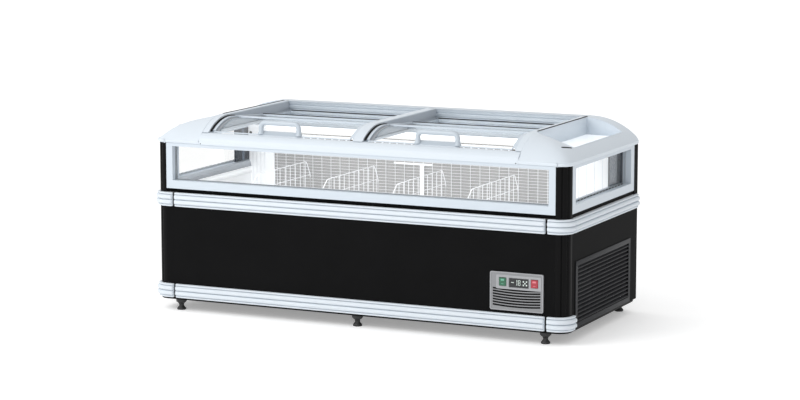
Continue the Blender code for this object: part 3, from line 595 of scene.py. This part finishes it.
def cap_borders(work):
    """The edges round the well, and the outer ones without those on the rib."""
    slack = 0.002
    well, outer = [], []
    for edge in (edge for edge in work.edges if edge.is_boundary):
        middle = (edge.verts[0].co + edge.verts[1].co) / 2
        in_front = CAP_Y[0] + 0.1 < middle.y
        if WELL_X[0] - slack < middle.x < WELL_X[1] + slack and in_front and middle.y < WELL_Y[1] + slack:
            well.append(edge)
        elif middle.x > CAP_X[0] + 1e-5:
            outer.append(edge)
    return well, outer


def pulled(work, edges):
    """New vertices and edges pulled out of a border, still lying on it."""
    made = bmesh.ops.extrude_edge_only(work, edges=edges)["geom"]
    corners = [item for item in made if isinstance(item, bmesh.types.BMVert)]
    return corners, [item for item in made if isinstance(item, bmesh.types.BMEdge)]


def end_cap(word, mirror):
    """Smooth moulded end with a rolled lip and a well down to its skylight."""
    work = bmesh.new()
    cap_surface(work)
    well, skirt = cap_borders(work)
    for inward, rise in ((0.0, 0.009), (0.0012, 0.0035), (0.0023, 0.0006), (0.0035, 0.0)):
        corners, skirt = pulled(work, skirt)
        for vertex in corners:
            place = vertex.co.xy
            vertex.co = (*(place - cap_outward(*place) * inward), CAP_Z[0] + rise)
    for vertex in pulled(work, well)[0]:
        vertex.co.z = SKYLIGHT_Z[1] + SKIN
    node = f"end_cap_{word}"
    cap = piece(f"{node}_look", work, "white", stands_for=[node], sharp=28, mirror=mirror)
    soften(cap, 0.0028, 3, 28)
    shelled(cap, 0.0030, -1)


end_cap("right", False)
end_cap("left", True)


# Corner posts


def front_post(word, mirror):
    """Quarter-round post with two soft grooves down its round face."""
    grooves, groove_width, groove_depth = (math.radians(30), math.radians(60)), math.radians(5.5), 0.0050
    outline, steps = [(POST_CENTRE_X, POST_FRONT_Y)], 72
    for i in range(steps + 1):
        angle = math.pi / 2 * i / steps
        dip = sum(math.exp(-(((angle - groove) / groove_width) ** 2) * 2) for groove in grooves)
        radius = POST_RADIUS - groove_depth * dip
        outline.append((POST_CENTRE_X + radius * math.cos(angle), POST_FRONT_Y - radius * math.sin(angle)))
    work = bmesh.new()
    loft(work, [[(x, y, z) for x, y in outline] for z in POST_Z])
    node = f"corner_post_front_{word}"
    piece(f"{node}_look", work, "post", stands_for=[node], mirror=mirror)


front_post("right", False)
front_post("left", True)


# Handles


def lid_point(y, radius=LID_RADIUS):
    """Height of the front lid's outer face at a depth."""
    return ROOF_TOP - ROOF_RADIUS + math.sqrt(radius**2 - (y - ROOF_Y) ** 2)


def handle_bail(work, y, legs, base, crown, tube):
    """A round bar bent up, across and down, which flares at its feet."""
    left, right = legs
    bend, lean, sides = 0.022, 0.001, 20
    flare_height, flare = 0.018, 0.40
    path = [(left - lean, base), (left - lean * 0.6, base + 0.010), (left - lean * 0.3, base + 0.020)]
    path += arc((left + bend, crown - bend), bend, 180, 90, 8)
    middle = [(left + (right - left) * t, crown) for t in (0.35, 0.5, 0.65)]
    path += middle + [(left + right - x, z) for x, z in reversed(path)]
    rings = []
    for i, (x, z) in enumerate(path):
        before, after = path[max(i - 1, 0)], path[min(i + 1, len(path) - 1)]
        along = Vector((after[0] - before[0], 0, after[1] - before[1])).normalized()
        across = Vector((along.z, 0, -along.x))
        radius = tube * (1 + flare * max(0.0, 1 - (z - base) / flare_height) ** 2)
        ring = []
        for k in range(sides):
            angle = 2 * math.pi * k / sides
            deep = Vector((0, radius * 1.02 * math.sin(angle), 0))
            ring.append(Vector((x, y, z)) + across * (radius * math.cos(angle)) + deep)
        rings.append(ring)
    loft(work, rings)


def handle_plate(work, y, x):
    """A thin plate with round ends that follows the lid's curve."""
    rings = []
    for t in (0, 0.012, 0.035, 0.07, 0.3, 0.5, 0.7, 0.93, 0.965, 0.988, 1.0):
        at = x[0] + (x[1] - x[0]) * t
        full = math.sqrt(max(0.0, 1 - (1 - min(1.0, min(t, 1 - t) / 0.07)) ** 2))
        half = 0.004 + 0.0095 * full
        ys = [y - half + 2 * half * k / 6 for k in range(7)]
        upper = [(at, v, lid_point(v) + 0.0035 * (0.4 + 0.6 * full)) for v in ys]
        rings.append(upper + [(at, v, lid_point(v) + SKIN) for v in reversed(ys)])
    loft(work, rings)


def handle(word):
    """Thick bail on a base plate."""
    node = f"handle_{word}"
    x, (low_y, high_y), (_, top) = span(node)
    y = (low_y + high_y) / 2
    tube, foot = 0.0115, 0.003
    work = bmesh.new()
    legs = (x[0] + foot + tube, x[1] - foot - tube)
    handle_bail(work, y, legs, lid_point(y) - 0.001, top - tube, tube)
    handle_plate(work, y, x)
    piece(f"{node}_look", work, "handle", f"front_lid_{word}", [node], sharp=60)


handle("left")
handle("right")


# Rear grid and dividers


def rear_grid():
    """Welded grid of white wires, its frame and its tabs on the tub's back wall; their paint glows, painted
    light.
    """
    (x0, x1), (z0, z1) = GRID_X, GRID_Z
    wire, bar, frame_wire, gap = 0.0013, 0.0009, 0.0019, 0.002
    columns, rows = 36, 22
    y = GRID_Y + frame_wire
    wires, bars = bmesh.new(), bmesh.new()
    for i in range(1, columns):
        x = x0 + (x1 - x0) * i / columns
        rod(wires, (x, y - 0.0006, z0 + gap), (x, y - 0.0006, z1 - gap), wire, 6)
    for j in range(1, rows):
        z = z0 + (z1 - z0) * j / rows
        rod(bars, (x0 + gap, y + 0.0012, z), (x1 - gap, y + 0.0012, z), bar, 6)
    for z in (z0 + frame_wire, z1 - frame_wire):
        rod(wires, (x0, y, z), (x1, y, z), frame_wire)
    for x in (x0 + frame_wire, x1 - frame_wire):
        rod(wires, (x, y, z0), (x, y, z1), frame_wire)
    for twelfths in (1, 5, 7, 11):
        x = x0 + (x1 - x0) * twelfths / 12
        slab(wires, (x - 0.006, x + 0.010), (GRID_Y + 0.0093, GRID_BACK), (0.540, 0.556), 0.0008)
    piece("rear_mesh_look", wires, "wire", stands_for=["rear_mesh"])
    piece("rear_mesh_bars", bars, "wire")


def rear_duct():
    """Duct sheet behind the grid, with pale trims in front of it and a slotted strip along its top; the pale
    trims glow, painted light.
    """
    (x0, x1), y, (z0, z1) = GRID_X, GRID_Y, GRID_Z
    sheet = ((x0 + 0.004, x1 - 0.004), (y + 0.0075, y + 0.0090), (z0 + 0.004, z1 - 0.012), 0.0004)
    blocks("rear_duct_sheet", "duct", [sheet])
    trim_y = (y - 0.0060, y - 0.0010)
    blocks("rear_duct_trim", "pale", [
        (GRID_X, (y - 0.0030, y - 0.0008), (z1 - 0.024, z1 + 0.0005), 0.0006),
        ((-0.040, -0.018), trim_y, (z0, 0.6495), 0.0010),
        ((-0.180, 0.028), trim_y, (0.650, 0.660), 0.0010),
    ])
    pitch, length = 0.0395, 0.030
    starts = [x0 + 0.010 + pitch * i for i in range(int((x1 - x0) / pitch))]
    blocks("rear_duct_slots", "brown", [
        ((x, x + length), (y - 0.0036, y - 0.0029), (z1 - 0.0185, z1 - 0.0120), 0.0003, 1) for x in starts
    ])
    strip = (GRID_X, (y - 0.0034, y + 0.0010), (z1 + 0.0008, z1 + 0.0038), 0.0003, 1)
    blocks("rear_duct_strip", "brown", [strip])


def rear_panels():
    """Pale seamed panels beside the grid, and a housing with a round opening above the left one; the pale
    paint glows, painted light.
    """
    left, right, y, (z0, z1) = -0.9835, 0.938, GRID_Y - 0.001, GRID_Z
    panel_y, panel_z = (y - 0.005, y), (z0, z1 - 0.0245)
    blocks("rear_left_panel", "pale", [
        ((left, GRID_X[0] + 0.038), panel_y, panel_z, 0.0012),
        ((0.745, right), panel_y, panel_z, 0.0012),
        ((left, left + 0.098), (y - 0.018, y), (z1 - 0.020, 0.8045), 0.0040, 4),
    ])
    starts = [left + 0.020 + 0.022 * i for i in range(4)] + [right - 0.030 - 0.040 * i for i in range(4)]
    blocks("rear_left_panel_seams", "sill", [
        ((x, x + 0.0014), (y - 0.0054, y - 0.0049), (z0 + 0.004, z1 - 0.026)) for x in starts
    ])
    disc = [(0.0, -0.0006), (0.0068, -0.0006), (0.0074, 0.0), (0.0068, 0.0006), (0.0, 0.0006)]
    opening = bmesh.new()
    turned(opening, disc, (left + 0.016, y - 0.018, z1 - 0.004), 20, FACING_FRONT)
    piece("rear_left_opening", opening, "seal")


def lamp_cover():
    """Long white lamp cover under the rear beam."""
    y = RIM_INSIDE[1]
    cover = ((-0.905, 0.905), (y - 0.0085, y - SKIN), (0.7765, 0.8045), 0.0035, 4)
    blocks("rear_lamp_cover", "lamp", [cover])


rear_grid()
rear_duct()
rear_panels()
lamp_cover()


def round_corners(points, radius, steps=4):
    """A closed line in two dimensions with its corners rounded."""
    points = [Vector(point) for point in points]
    smooth = []
    for before, here, after in zip(points[-1:] + points[:-1], points, points[1:] + points[:1]):
        start = here + (before - here).normalized() * radius
        end = here + (after - here).normalized() * radius
        for k in range(steps + 1):
            t = k / steps
            smooth.append((1 - t) ** 2 * start + 2 * t * (1 - t) * here + t**2 * end)
    return smooth


def divider(number):
    """White wire partition: a bent outline, two rails and upright wires; their paint glows, painted light."""
    node = f"divider_{number}"
    (x0, x1), (y0, y1), (z0, z1) = span(node)
    x, frame_wire, wire = (x0 + x1) / 2, 0.0020, 0.0016
    low, high, bottom, top = y0 + frame_wire, y1 - frame_wire, z0 + frame_wire, z1 - frame_wire
    shoulder, rail, crown, bend, uprights = 0.577, 0.363, (-0.240, 0.270), 0.012, 12
    outline = [(low, bottom), (high, bottom), (high, shoulder)]
    outline += [(crown[1], top), (crown[0], top), (low, shoulder)]
    work = bmesh.new()
    wire_loop(work, [(x, u, v) for u, v in round_corners(outline, bend)], frame_wire)
    for z in (shoulder, rail):
        rod(work, (x, low, z), (x, high, z), wire)
    for i in range(1, uprights):
        y = low + (high - low) * i / uprights
        reach = top
        if y < crown[0]:
            reach = shoulder + (top - shoulder) * (y - low) / (crown[0] - low)
        elif y > crown[1]:
            reach = shoulder + (top - shoulder) * (high - y) / (high - crown[1])
        rod(work, (x, y, bottom), (x, y, reach), wire, 6)
    piece(f"{node}_look", work, "wire", f"wire_divider_{number}", [node])


for divider_number in range(1, 5):
    divider(divider_number)


# Side grille


def side_grille():
    """Grille with a flat border and slats that lean out towards the bottom."""
    (x0, x1), (y0, y1), (z0, z1) = span("side_grille")
    border, slats = 0.023, 14
    reach, drop, thick = 0.012, 0.0075, 0.0032
    work = bmesh.new()
    for z in ((z0, z0 + border), (z1 - border, z1)):
        slab(work, (x0, x1), (y0, y1), z, 0.0008)
    for y in ((y0, y0 + border), (y1 - border, y1)):
        slab(work, (x0, x1), y, (z0 + border, z1 - border))
    pitch = (z1 - z0 - 2 * border) / slats
    for i in range(slats):
        z = z0 + border + pitch * (i + 0.5)
        outline = [
            (x1 - 0.0003, z - drop / 2 - thick / 2), (x1 - 0.0001, z - drop / 2 + thick / 2),
            (x1 - reach, z + drop / 2 + thick / 2), (x1 - reach, z + drop / 2 - thick / 2),
        ]
        ends = (y0 + border - 0.001, y1 - border + 0.001)
        loft(work, [[(u, y, v) for u, v in outline] for y in ends])
    piece("side_grille_look", work, "dark", stands_for=["side_grille"])


side_grille()


# Control panel


def loop_round(node, margin_x, margin_z, radius):
    """A rounded outline round a CAD node's face, with a margin that may be negative."""
    x, _, z = span(node)
    return rounded_loop((x[0] - margin_x, x[1] + margin_x), (z[0] - margin_z, z[1] + margin_z), radius)


def air_slots(x, bottom):
    """Outlines of the air slots: seven bands, one above the other, that sag in their middles."""
    slots, steps = [], 12
    pitch, height, most_sag = 0.0124, 0.0078, 0.0055
    for i in range(7):
        lower = []
        for k in range(steps + 1):
            t = k / steps
            sag = 4 * most_sag * t * (1 - t)
            lower.append((x[0] + (x[1] - x[0]) * t, bottom + pitch * i - sag))
        slots.append(lower + [(u, v + height) for u, v in reversed(lower)])
    return slots


def control_panel():
    """Grey panel: a plate with air slots, a raised border, and a raised field round the switches."""
    (x0, x1), (y0, y1), (z0, _) = span("control_bezel")
    switches, face, slot_x = ("switch_green", "switch_red"), y0 + 0.0016, (x0 + 0.013, x1 - 0.013)
    loops = [loop_round("control_bezel", -0.003, -0.003, 0.005), loop_round("display", 0, 0, 0.002)]
    loops += [loop_round(node, 0.0010, 0.0012, 0.002) for node in switches]
    plate = pressed("plate", loops + air_slots(slot_x, z0 + 0.0205), (face, face + 0.0018))
    soften(piece("control_plate", plate, "grey", stands_for=["control_bezel"]), 0.0005)
    loops = [loop_round("control_bezel", 0, 0, 0.007), loop_round("control_bezel", -0.0045, -0.0045, 0.004)]
    soften(piece("control_border", pressed("border", loops, (y0, y1)), "grey_light"), 0.0012, 3)
    low, high = span("display")[2]
    loops = [rounded_loop((x0 + 0.030, x1 - 0.010), (low - 0.010, high + 0.012), 0.005)]
    loops += [loop_round("display", 0.002, 0.002, 0.003)]
    loops += [loop_round(node, 0.0020, 0.0022, 0.003) for node in switches]
    field = pressed("field", loops, (y0 + 0.0006, face))
    soften(piece("control_field", field, "grey_light"), 0.0004)
    middles = [slot_x[0] + (slot_x[1] - slot_x[0]) * t for t in (0.18, 0.42, 0.66, 0.88)]
    bar_y, bar_z = (face + 0.001, face + 0.0035), (z0 + 0.010, z0 + 0.103)
    bars = [((x - 0.0010, x + 0.0010), bar_y, bar_z, 0.0003) for x in middles]
    # The black sheet behind the air slots is painted shade that makes the slots read dark.
    back = ((slot_x[0] - 0.004, slot_x[1] + 0.004), (y1 - 0.0010, y1 - 0.0002), (z0 + 0.006, z0 + 0.106))
    blocks("control_slot_bars", "seal", [*bars, back])


control_panel()


def rocker(node, body, paint, lens):
    """Rocker key with a dished face, a clear lens bar across its top and a small one below; the lenses'
    lighter colour is partly a painted highlight.
    """
    (x0, x1), (y0, y1), (z0, z1) = span(node)
    x, z, half, steps = (x0 + x1) / 2, (z0 + z1) / 2, (z1 - z0) / 2, 12
    near = ((0.0, 0.0), (0.0008, 0.7), (0.002, 1.0))
    stops = [(x0 + inset, full) for inset, full in near]
    stops += [(x1 - inset, full) for inset, full in reversed(near)]
    rings = []
    for at, full in stops:
        ring = [(at, y1, z1), (at, y1, z0)]
        for k in range(steps + 1):
            t = -1 + 2 * k / steps
            dish = 0.0024 * (1 - t * t) + 0.0012 * (1 - full)
            edge = 0.0010 if abs(t) > 0.99 else 0.0
            ring.append((at, y0 + dish + edge, z + half * t))
        rings.append(ring)
    work = bmesh.new()
    loft(work, rings)
    piece(f"{node}_look", work, paint, body, [node])
    # Lens bars: their lighter colour is partly a painted highlight on the key.
    blocks(f"{node}_lens", lens, [
        ((x - 0.0085, x + 0.0085), (y0 + 0.0006, y0 + 0.0022), (z + 0.004, z + 0.0125), 0.0008),
        ((x - 0.0060, x + 0.0060), (y0 + 0.0007, y0 + 0.0022), (z - 0.0105, z - 0.0080), 0.0006),
    ], body)


rocker("switch_green", "green_switch", "green", "green_lens_highlight")
rocker("switch_red", "red_switch", "red", "red_lens_highlight")


def digit(work, symbol, x, z, width, height, y):
    """A seven-segment digit from slim bars."""
    thick, half = width * 0.24, height / 2
    left, right, whole = (0, thick), (width - thick, width), (0, width)
    lower, upper = (0, half), (half, height)
    bars = {
        "a": (whole, (height - thick, height)), "b": (right, upper), "c": (right, lower),
        "d": (whole, (0, thick)), "e": (left, lower), "f": (left, upper),
        "g": (whole, (half - thick / 2, half + thick / 2)),
    }
    for name in {"-": "g", "1": "bc", "8": "abcdefg"}[symbol]:
        u, v = bars[name]
        slab(work, (x + u[0], x + u[1]), y, (z + v[0], z + v[1]))


def display_digits():
    """The temperature in degrees, and five small marks beside it."""
    (x0, _), (y0, _), (z0, _) = span("display")
    y, z = (y0 - 0.0003, y0 + 0.0004), z0 + 0.0095
    work = bmesh.new()
    for i, symbol in enumerate("-18"):
        digit(work, symbol, x0 + 0.010 + i * 0.0165, z, 0.0125, 0.025, y)
    for i in range(3):
        for j in range(3):
            if (i + j) % 2 == 0:
                u, v = x0 + 0.066 + i * 0.0075, z + j * 0.0080
                slab(work, (u, u + 0.006), y, (v, v + 0.0065))
    piece("display_digits", work, "digit")


display_digits()


# Feet


def foot(row, word):
    """Levelling foot: rubber pad, waisted neck with a collar, flange and threaded stud."""
    node = f"foot_{row}_{word}"
    (x0, x1), (y0, y1), (_, z1) = span(node)
    centre = ((x0 + x1) / 2, (y0 + y1) / 2, 0)
    top = span("base_frame")[2][0] - SKIN
    profile = [
        (0.0, 0.0), (0.0195, 0.0), (0.0212, 0.0014), (0.0215, 0.0050), (0.0205, 0.0085), (0.0160, 0.0135),
        (0.0125, 0.0185), (0.0112, 0.0215), (0.0112, 0.0240), (0.0128, 0.0250), (0.0128, 0.0275),
        (0.0115, 0.0285), (0.0150, 0.0315), (0.0195, 0.0345), (0.0210, 0.0370), (0.0245, 0.0395),
        (0.0256, 0.0410), (0.0260, top - 0.0012), (0.0250, top), (0.0050, top),
    ]
    threads = 5
    for i in range(threads):
        z = top + (z1 - top) * (i + 0.5) / threads
        profile += [(0.0044, z), (0.0050, z + (z1 - top) / threads / 2)]
    profile += [(0.0042, z1), (0.0, z1)]
    work = bmesh.new()
    turned(work, profile, centre, 40)
    piece(f"{node}_look", work, "rubber", f"{row}_{word}_foot", [node])


for foot_row in ("front", "rear"):
    for foot_word in ("left", "center", "right"):
        foot(foot_row, foot_word)


# Seals, sills and covers inside the rim


def frame_ring(work, x, z, y, width, depth):
    """A thin frame round a window that faces along Y."""
    for u in ((x[0], x[0] + width), (x[1] - width, x[1])):
        slab(work, u, (y, y + depth), z, depth * 0.3, 1)
    for v in ((z[0], z[0] + width), (z[1] - width, z[1])):
        slab(work, (x[0] + width, x[1] - width), (y, y + depth), v, depth * 0.3, 1)


def window_seals():
    """Rubber seals round each pane, on both of its faces."""
    for name, look, words, turn in (
        ("front_rear_seals", "gasket", ("front", "rear"), 0), ("end_seals", "sill", ("left", "right"), 90),
    ):
        work = bmesh.new()
        for word in words:
            x, y, z = span(f"glass_{word}")
            if turn:
                x, y = y, (-x[1], -x[0])
            for start in (y[0] - 0.0025, y[1] + 0.0001):
                frame_ring(work, x, z, start, 0.0035, 0.0024)
        work.transform(Matrix.Rotation(math.radians(turn), 4, "Z"))
        piece(name, work, look)


def seal_stitches():
    """Short dark stitches along the foot and up the front of each end window's seal."""
    low, high = END_PANE_Y
    foot = PANE_Z[0]
    pitch = 0.040
    boxes = []
    for x in both_ends(1.0226, 1.0234):
        for i in range(int((high - low) / pitch)):
            y = low + 0.008 + pitch * i
            boxes.append((x, (y, y + 0.024), (foot + 0.0012, foot + 0.0052)))
        for i in range(8):
            z = foot + 0.008 + pitch / 2 * i
            boxes.append((x, (low + 0.0038, low + 0.0062), (z, min(z + 0.012, PANE_Z[1]))))
    blocks("end_seal_stitches", "seal", boxes)


window_seals()
seal_stitches()


def inner_sill():
    """Grey trim at the windows' foot and a pale apron under it, all round the inside; the apron glows,
    painted light.
    """
    out_x, out_front, out_rear = 0.985 - SKIN, RIM_INSIDE[0] + SKIN, RIM_INSIDE[1] - SKIN
    inset = TUB_INSIDE + 0.004
    in_x, in_front, in_rear = HALF - inset, FRONT + inset, REAR - inset
    rings = []
    for t, z in ((0.0, PANE_Z[0] - 0.001), (0.35, PANE_Z[0] - 0.004), (1.0, 0.594), (1.0, 0.560)):
        x = out_x + (in_x - out_x) * t
        front = out_front + (in_front - out_front) * t
        rear = out_rear + (in_rear - out_rear) * t
        rings.append([(-x, front, z), (x, front, z), (x, rear, z), (-x, rear, z)])
    for name, part, look in (("inner_sill", rings[:3], "sill"), ("inner_apron", rings[2:], "pale")):
        work = bmesh.new()
        loft(work, part, caps=False)
        shelled(piece(name, work, look), 0.0015, 1)


inner_sill()


def corner_covers():
    """Dark covers over the rear corners inside the rim, with lighter cable strips on them."""
    z = (PANE_Z[0] + 0.001, PANE_Z[1] - 0.001)
    strip_z = (z[0] + 0.001, z[1] - 0.001)
    rear, pane = RIM_INSIDE[1], END_PANE_Y[1]
    dark = [(x, (0.225, pane - 0.001), z, 0.0015) for x in both_ends(0.986, 0.9950)]
    dark += [(x, (pane - 0.0032, pane - SKIN), z, 0.0006) for x in both_ends(0.9955, 1.0095)]
    dark.append(((0.915, 0.9835), (rear - 0.020, rear - 0.010), z, 0.0015))
    light = [(x, (0.2262, 0.2985), strip_z) for x in both_ends(0.9951, 0.9957)]
    light += [(x, (0.290, 0.312), z, 0.0006) for x in both_ends(0.9840, 0.9860)]
    light.append(((0.938, 0.954), (rear - 0.0220, rear - 0.020), z, 0.0006))
    strips = [(x, (0.2995, 0.3200), strip_z, 0.0004) for x in both_ends(0.9951, 0.9963)]
    blocks("corner_covers", "slate", dark)
    blocks("corner_cable_strips", "slate_light", light)
    blocks("corner_cable_covers", "border", strips)


corner_covers()


# Roof details


def lid_side_strip(work, x, radius, thick, y):
    """A strip that follows the front lid's side between two depths: round, then straight and sloping."""
    slope, steps = math.radians(4.4), 26
    flat = ROOF_Y + radius * math.sin(slope)
    rings = []
    for i in range(steps + 1):
        at = y[0] + (y[1] - y[0]) * i / steps
        z = lid_point(min(at, flat), radius) - max(0.0, at - flat) * math.tan(slope)
        rings.append([(x[0], at, z - thick), (x[1], at, z - thick), (x[1], at, z), (x[0], at, z)])
    loft(work, rings)


def lid_trims(word):
    """On a front lid: a black strip along its left side that paints the shadow in the gap to the rib, a black
    seal along its cross bar, and its glass's grey border, whose grey paints the shade on the frame's lower
    inner flange.
    """
    body, (low, high) = f"front_lid_{word}", span(f"front_lid_frame_{word}")[0]
    seal, border, glass = bmesh.new(), bmesh.new(), low + 0.0235
    # Black strip: painted shadow of the gap between the lid and the rib.
    lid_side_strip(seal, (low - 0.0001, low + 0.0105), LID_RADIUS + 0.0030, 0.0034, (-0.396, -0.170))
    # Black seal along the cross bar.
    slab(seal, (low + 0.012, high - 0.012), (0.1075, 0.1100), (0.8935, 0.8975), 0.0006)
    # Grey band: painted shade on the frame's lower inner flange beside the glass.
    lid_side_strip(border, (glass - 0.001, glass + 0.017), LID_RADIUS - 0.0065, 0.0016, (-0.390, 0.086))
    piece(f"{body}_side_shadow_strip_and_bar_seal", seal, "seal", body)
    piece(f"{body}_glass_flange_painted_shade", border, "border", body)


def rear_lid_seal(word):
    """Black lip on a flat lid's rear edge."""
    x, (_, rear), (_, top) = span(f"rear_lid_frame_{word}")
    lip = ((x[0] + 0.004, x[1] - 0.004), (rear - 0.0030, rear - 0.0005), (top - 0.0005, top + 0.0040), 0.0006)
    blocks(f"rear_lid_{word}_seal", "seal", [lip], f"rear_lid_{word}")


for lid_word in ("left", "right"):
    lid_trims(lid_word)
    rear_lid_seal(lid_word)


def rib_tracks():
    """Aluminium track strips with two ridges on the inner sides of the ribs."""
    boxes = []
    for face, side in ((-0.782, 1), (-0.024, -1), (0.024, 1), (0.782, -1)):
        near, middle, far = (face + side * out for out in (0.0002, 0.0009, 0.0013))
        boxes.append((sorted((near, middle)), (-0.190, 0.4085), (0.884, ROOF_TOP - 0.004)))
        boxes += [(sorted((middle, far)), (-0.185, 0.4085), (z, z + 0.0025)) for z in (0.895, 0.908)]
    blocks("rib_tracks", "track", boxes)


rib_tracks()


def draped_slot(name, look, length, width, lift):
    """A flat bar with round ends that lies on each cap's front corner and follows its curve."""
    centre_x, centre_y, turn, steps = 0.988, -0.312, math.radians(15), 16
    along_x, along_y = math.sin(turn), math.cos(turn)
    work = bmesh.new()
    for side in (-1, 1):
        rings = []
        for i in range(steps + 1):
            t = -math.cos(math.pi * i / steps)
            half = 0.0004 + width / 2 * math.sqrt(max(0.0, 1 - abs(t) ** 6))
            bottom, top = [], []
            for across in (-half, half):
                x = centre_x + along_x * t * length / 2 + along_y * across
                y = centre_y + along_y * t * length / 2 - along_x * across
                s = (y - CAP_Y[0]) / (well_y(x, 0) - CAP_Y[0])
                z = cap_height(x, y, 0, s)
                bottom.append((side * x, y, z - 0.0015))
                top.append((side * x, y, z + lift))
            rings.append(bottom + top[::-1])
        loft(work, rings)
    piece(name, work, look)


def cap_details():
    """The dark seams beside the end caps and behind the ribs, and a slot in each cap's front corner."""
    boxes = []
    for x in both_ends(CAP_X[0] - 0.0065, CAP_X[0] + 0.0012):
        boxes.append((x, (-0.215, 0.408), (ROOF_TOP - 0.0022, ROOF_TOP + 0.0022), 0.0003, 1))
    for x in (-0.797, 0.0, 0.797):
        height = (ROOF_TOP - 0.006, ROOF_TOP + 0.0009)
        boxes.append(((x - 0.013, x + 0.013), (0.4080, 0.4112), height, 0.0003, 1))
    blocks("cap_seams", "seal", boxes)
    draped_slot("cap_slot_rims", "white", 0.088, 0.016, 0.0008)
    draped_slot("cap_slots", "seal", 0.078, 0.0085, 0.0014)


def beam_screws():
    """A screw head at each end of the front beam."""
    head = [(0.0, 0.0008), (0.0022, 0.0006), (0.0030, -0.0004), (0.0030, -0.0010)]
    work = bmesh.new()
    for side in (-1, 1):
        turned(work, head, (side * 0.802, BEAM_Y, 0.8105), 16, FACING_FRONT)
    piece("beam_screws", work, "seal")


cap_details()
beam_screws()


# Stage


def area_light(name, place, aim, size, power):
    data = bpy.data.lights.new(name, "AREA")
    data.shape, data.energy = "RECTANGLE", power
    data.size, data.size_y = size
    lamp = bpy.data.objects.new(name, data)
    lamp.location = place
    lamp.rotation_euler = (Vector(aim) - Vector(place)).to_track_quat("-Z", "Y").to_euler()
    bpy.context.scene.collection.objects.link(lamp)


def studio():
    world = bpy.data.worlds.new("studio")
    world.use_nodes = True
    tree = world.node_tree
    direction = tree.nodes.new("ShaderNodeTexCoord").outputs["Generated"]
    across = node_of(tree, "ShaderNodeSeparateXYZ", [(0, direction)])
    strength = node_of(tree, "ShaderNodeMapRange", [("Value", across.outputs["X"])])
    fill(strength, {"From Min": -1.0, "From Max": 1.0, "To Min": 1.10, "To Max": 0.66})
    fill(tree.nodes["Background"], {"Color": (1, 1, 1, 1)})
    tree.links.new(strength.outputs[0], tree.nodes["Background"].inputs["Strength"])
    bpy.context.scene.world = world
    bpy.context.scene.view_settings.view_transform = "Standard"

    work = bmesh.new()
    bmesh.ops.create_grid(work, x_segments=1, y_segments=1, size=60.0)
    mesh = bpy.data.meshes.new("floor")
    work.to_mesh(mesh)
    work.free()
    paint = painted("studio_floor", (0.90, 0.90, 0.90), 0.8, cloud=0.005, grain=0.0, specular=0.1, glow=1 / 3)
    mesh.materials.append(paint)
    floor = bpy.data.objects.new("floor", mesh)
    bpy.context.scene.collection.objects.link(floor)

    area_light("key", (-2.6, -4.4, 4.6), (0, 0, 0.6), (3.0, 3.0), 115)
    area_light("front_fill", (0.0, -6.0, 2.2), (0, 0, 0.5), (4.0, 2.5), 36)
    area_light("case_lamp", (0, -0.375, 0.800), (0, 0.10, 0.45), (1.85, 0.020), 1.6)


def camera():
    data = bpy.data.cameras.new("camera")
    data.lens, data.sensor_width, data.clip_end = 113.67, 36.0, 200.0
    item = bpy.data.objects.new("camera", data)
    item.location = (5.0431, -10.7358, 2.3417)
    item.rotation_euler = Euler([math.radians(a) for a in (81.325, 0.0, 25.062)])
    bpy.context.scene.collection.objects.link(item)
    bpy.context.scene.camera = item


studio()
camera()
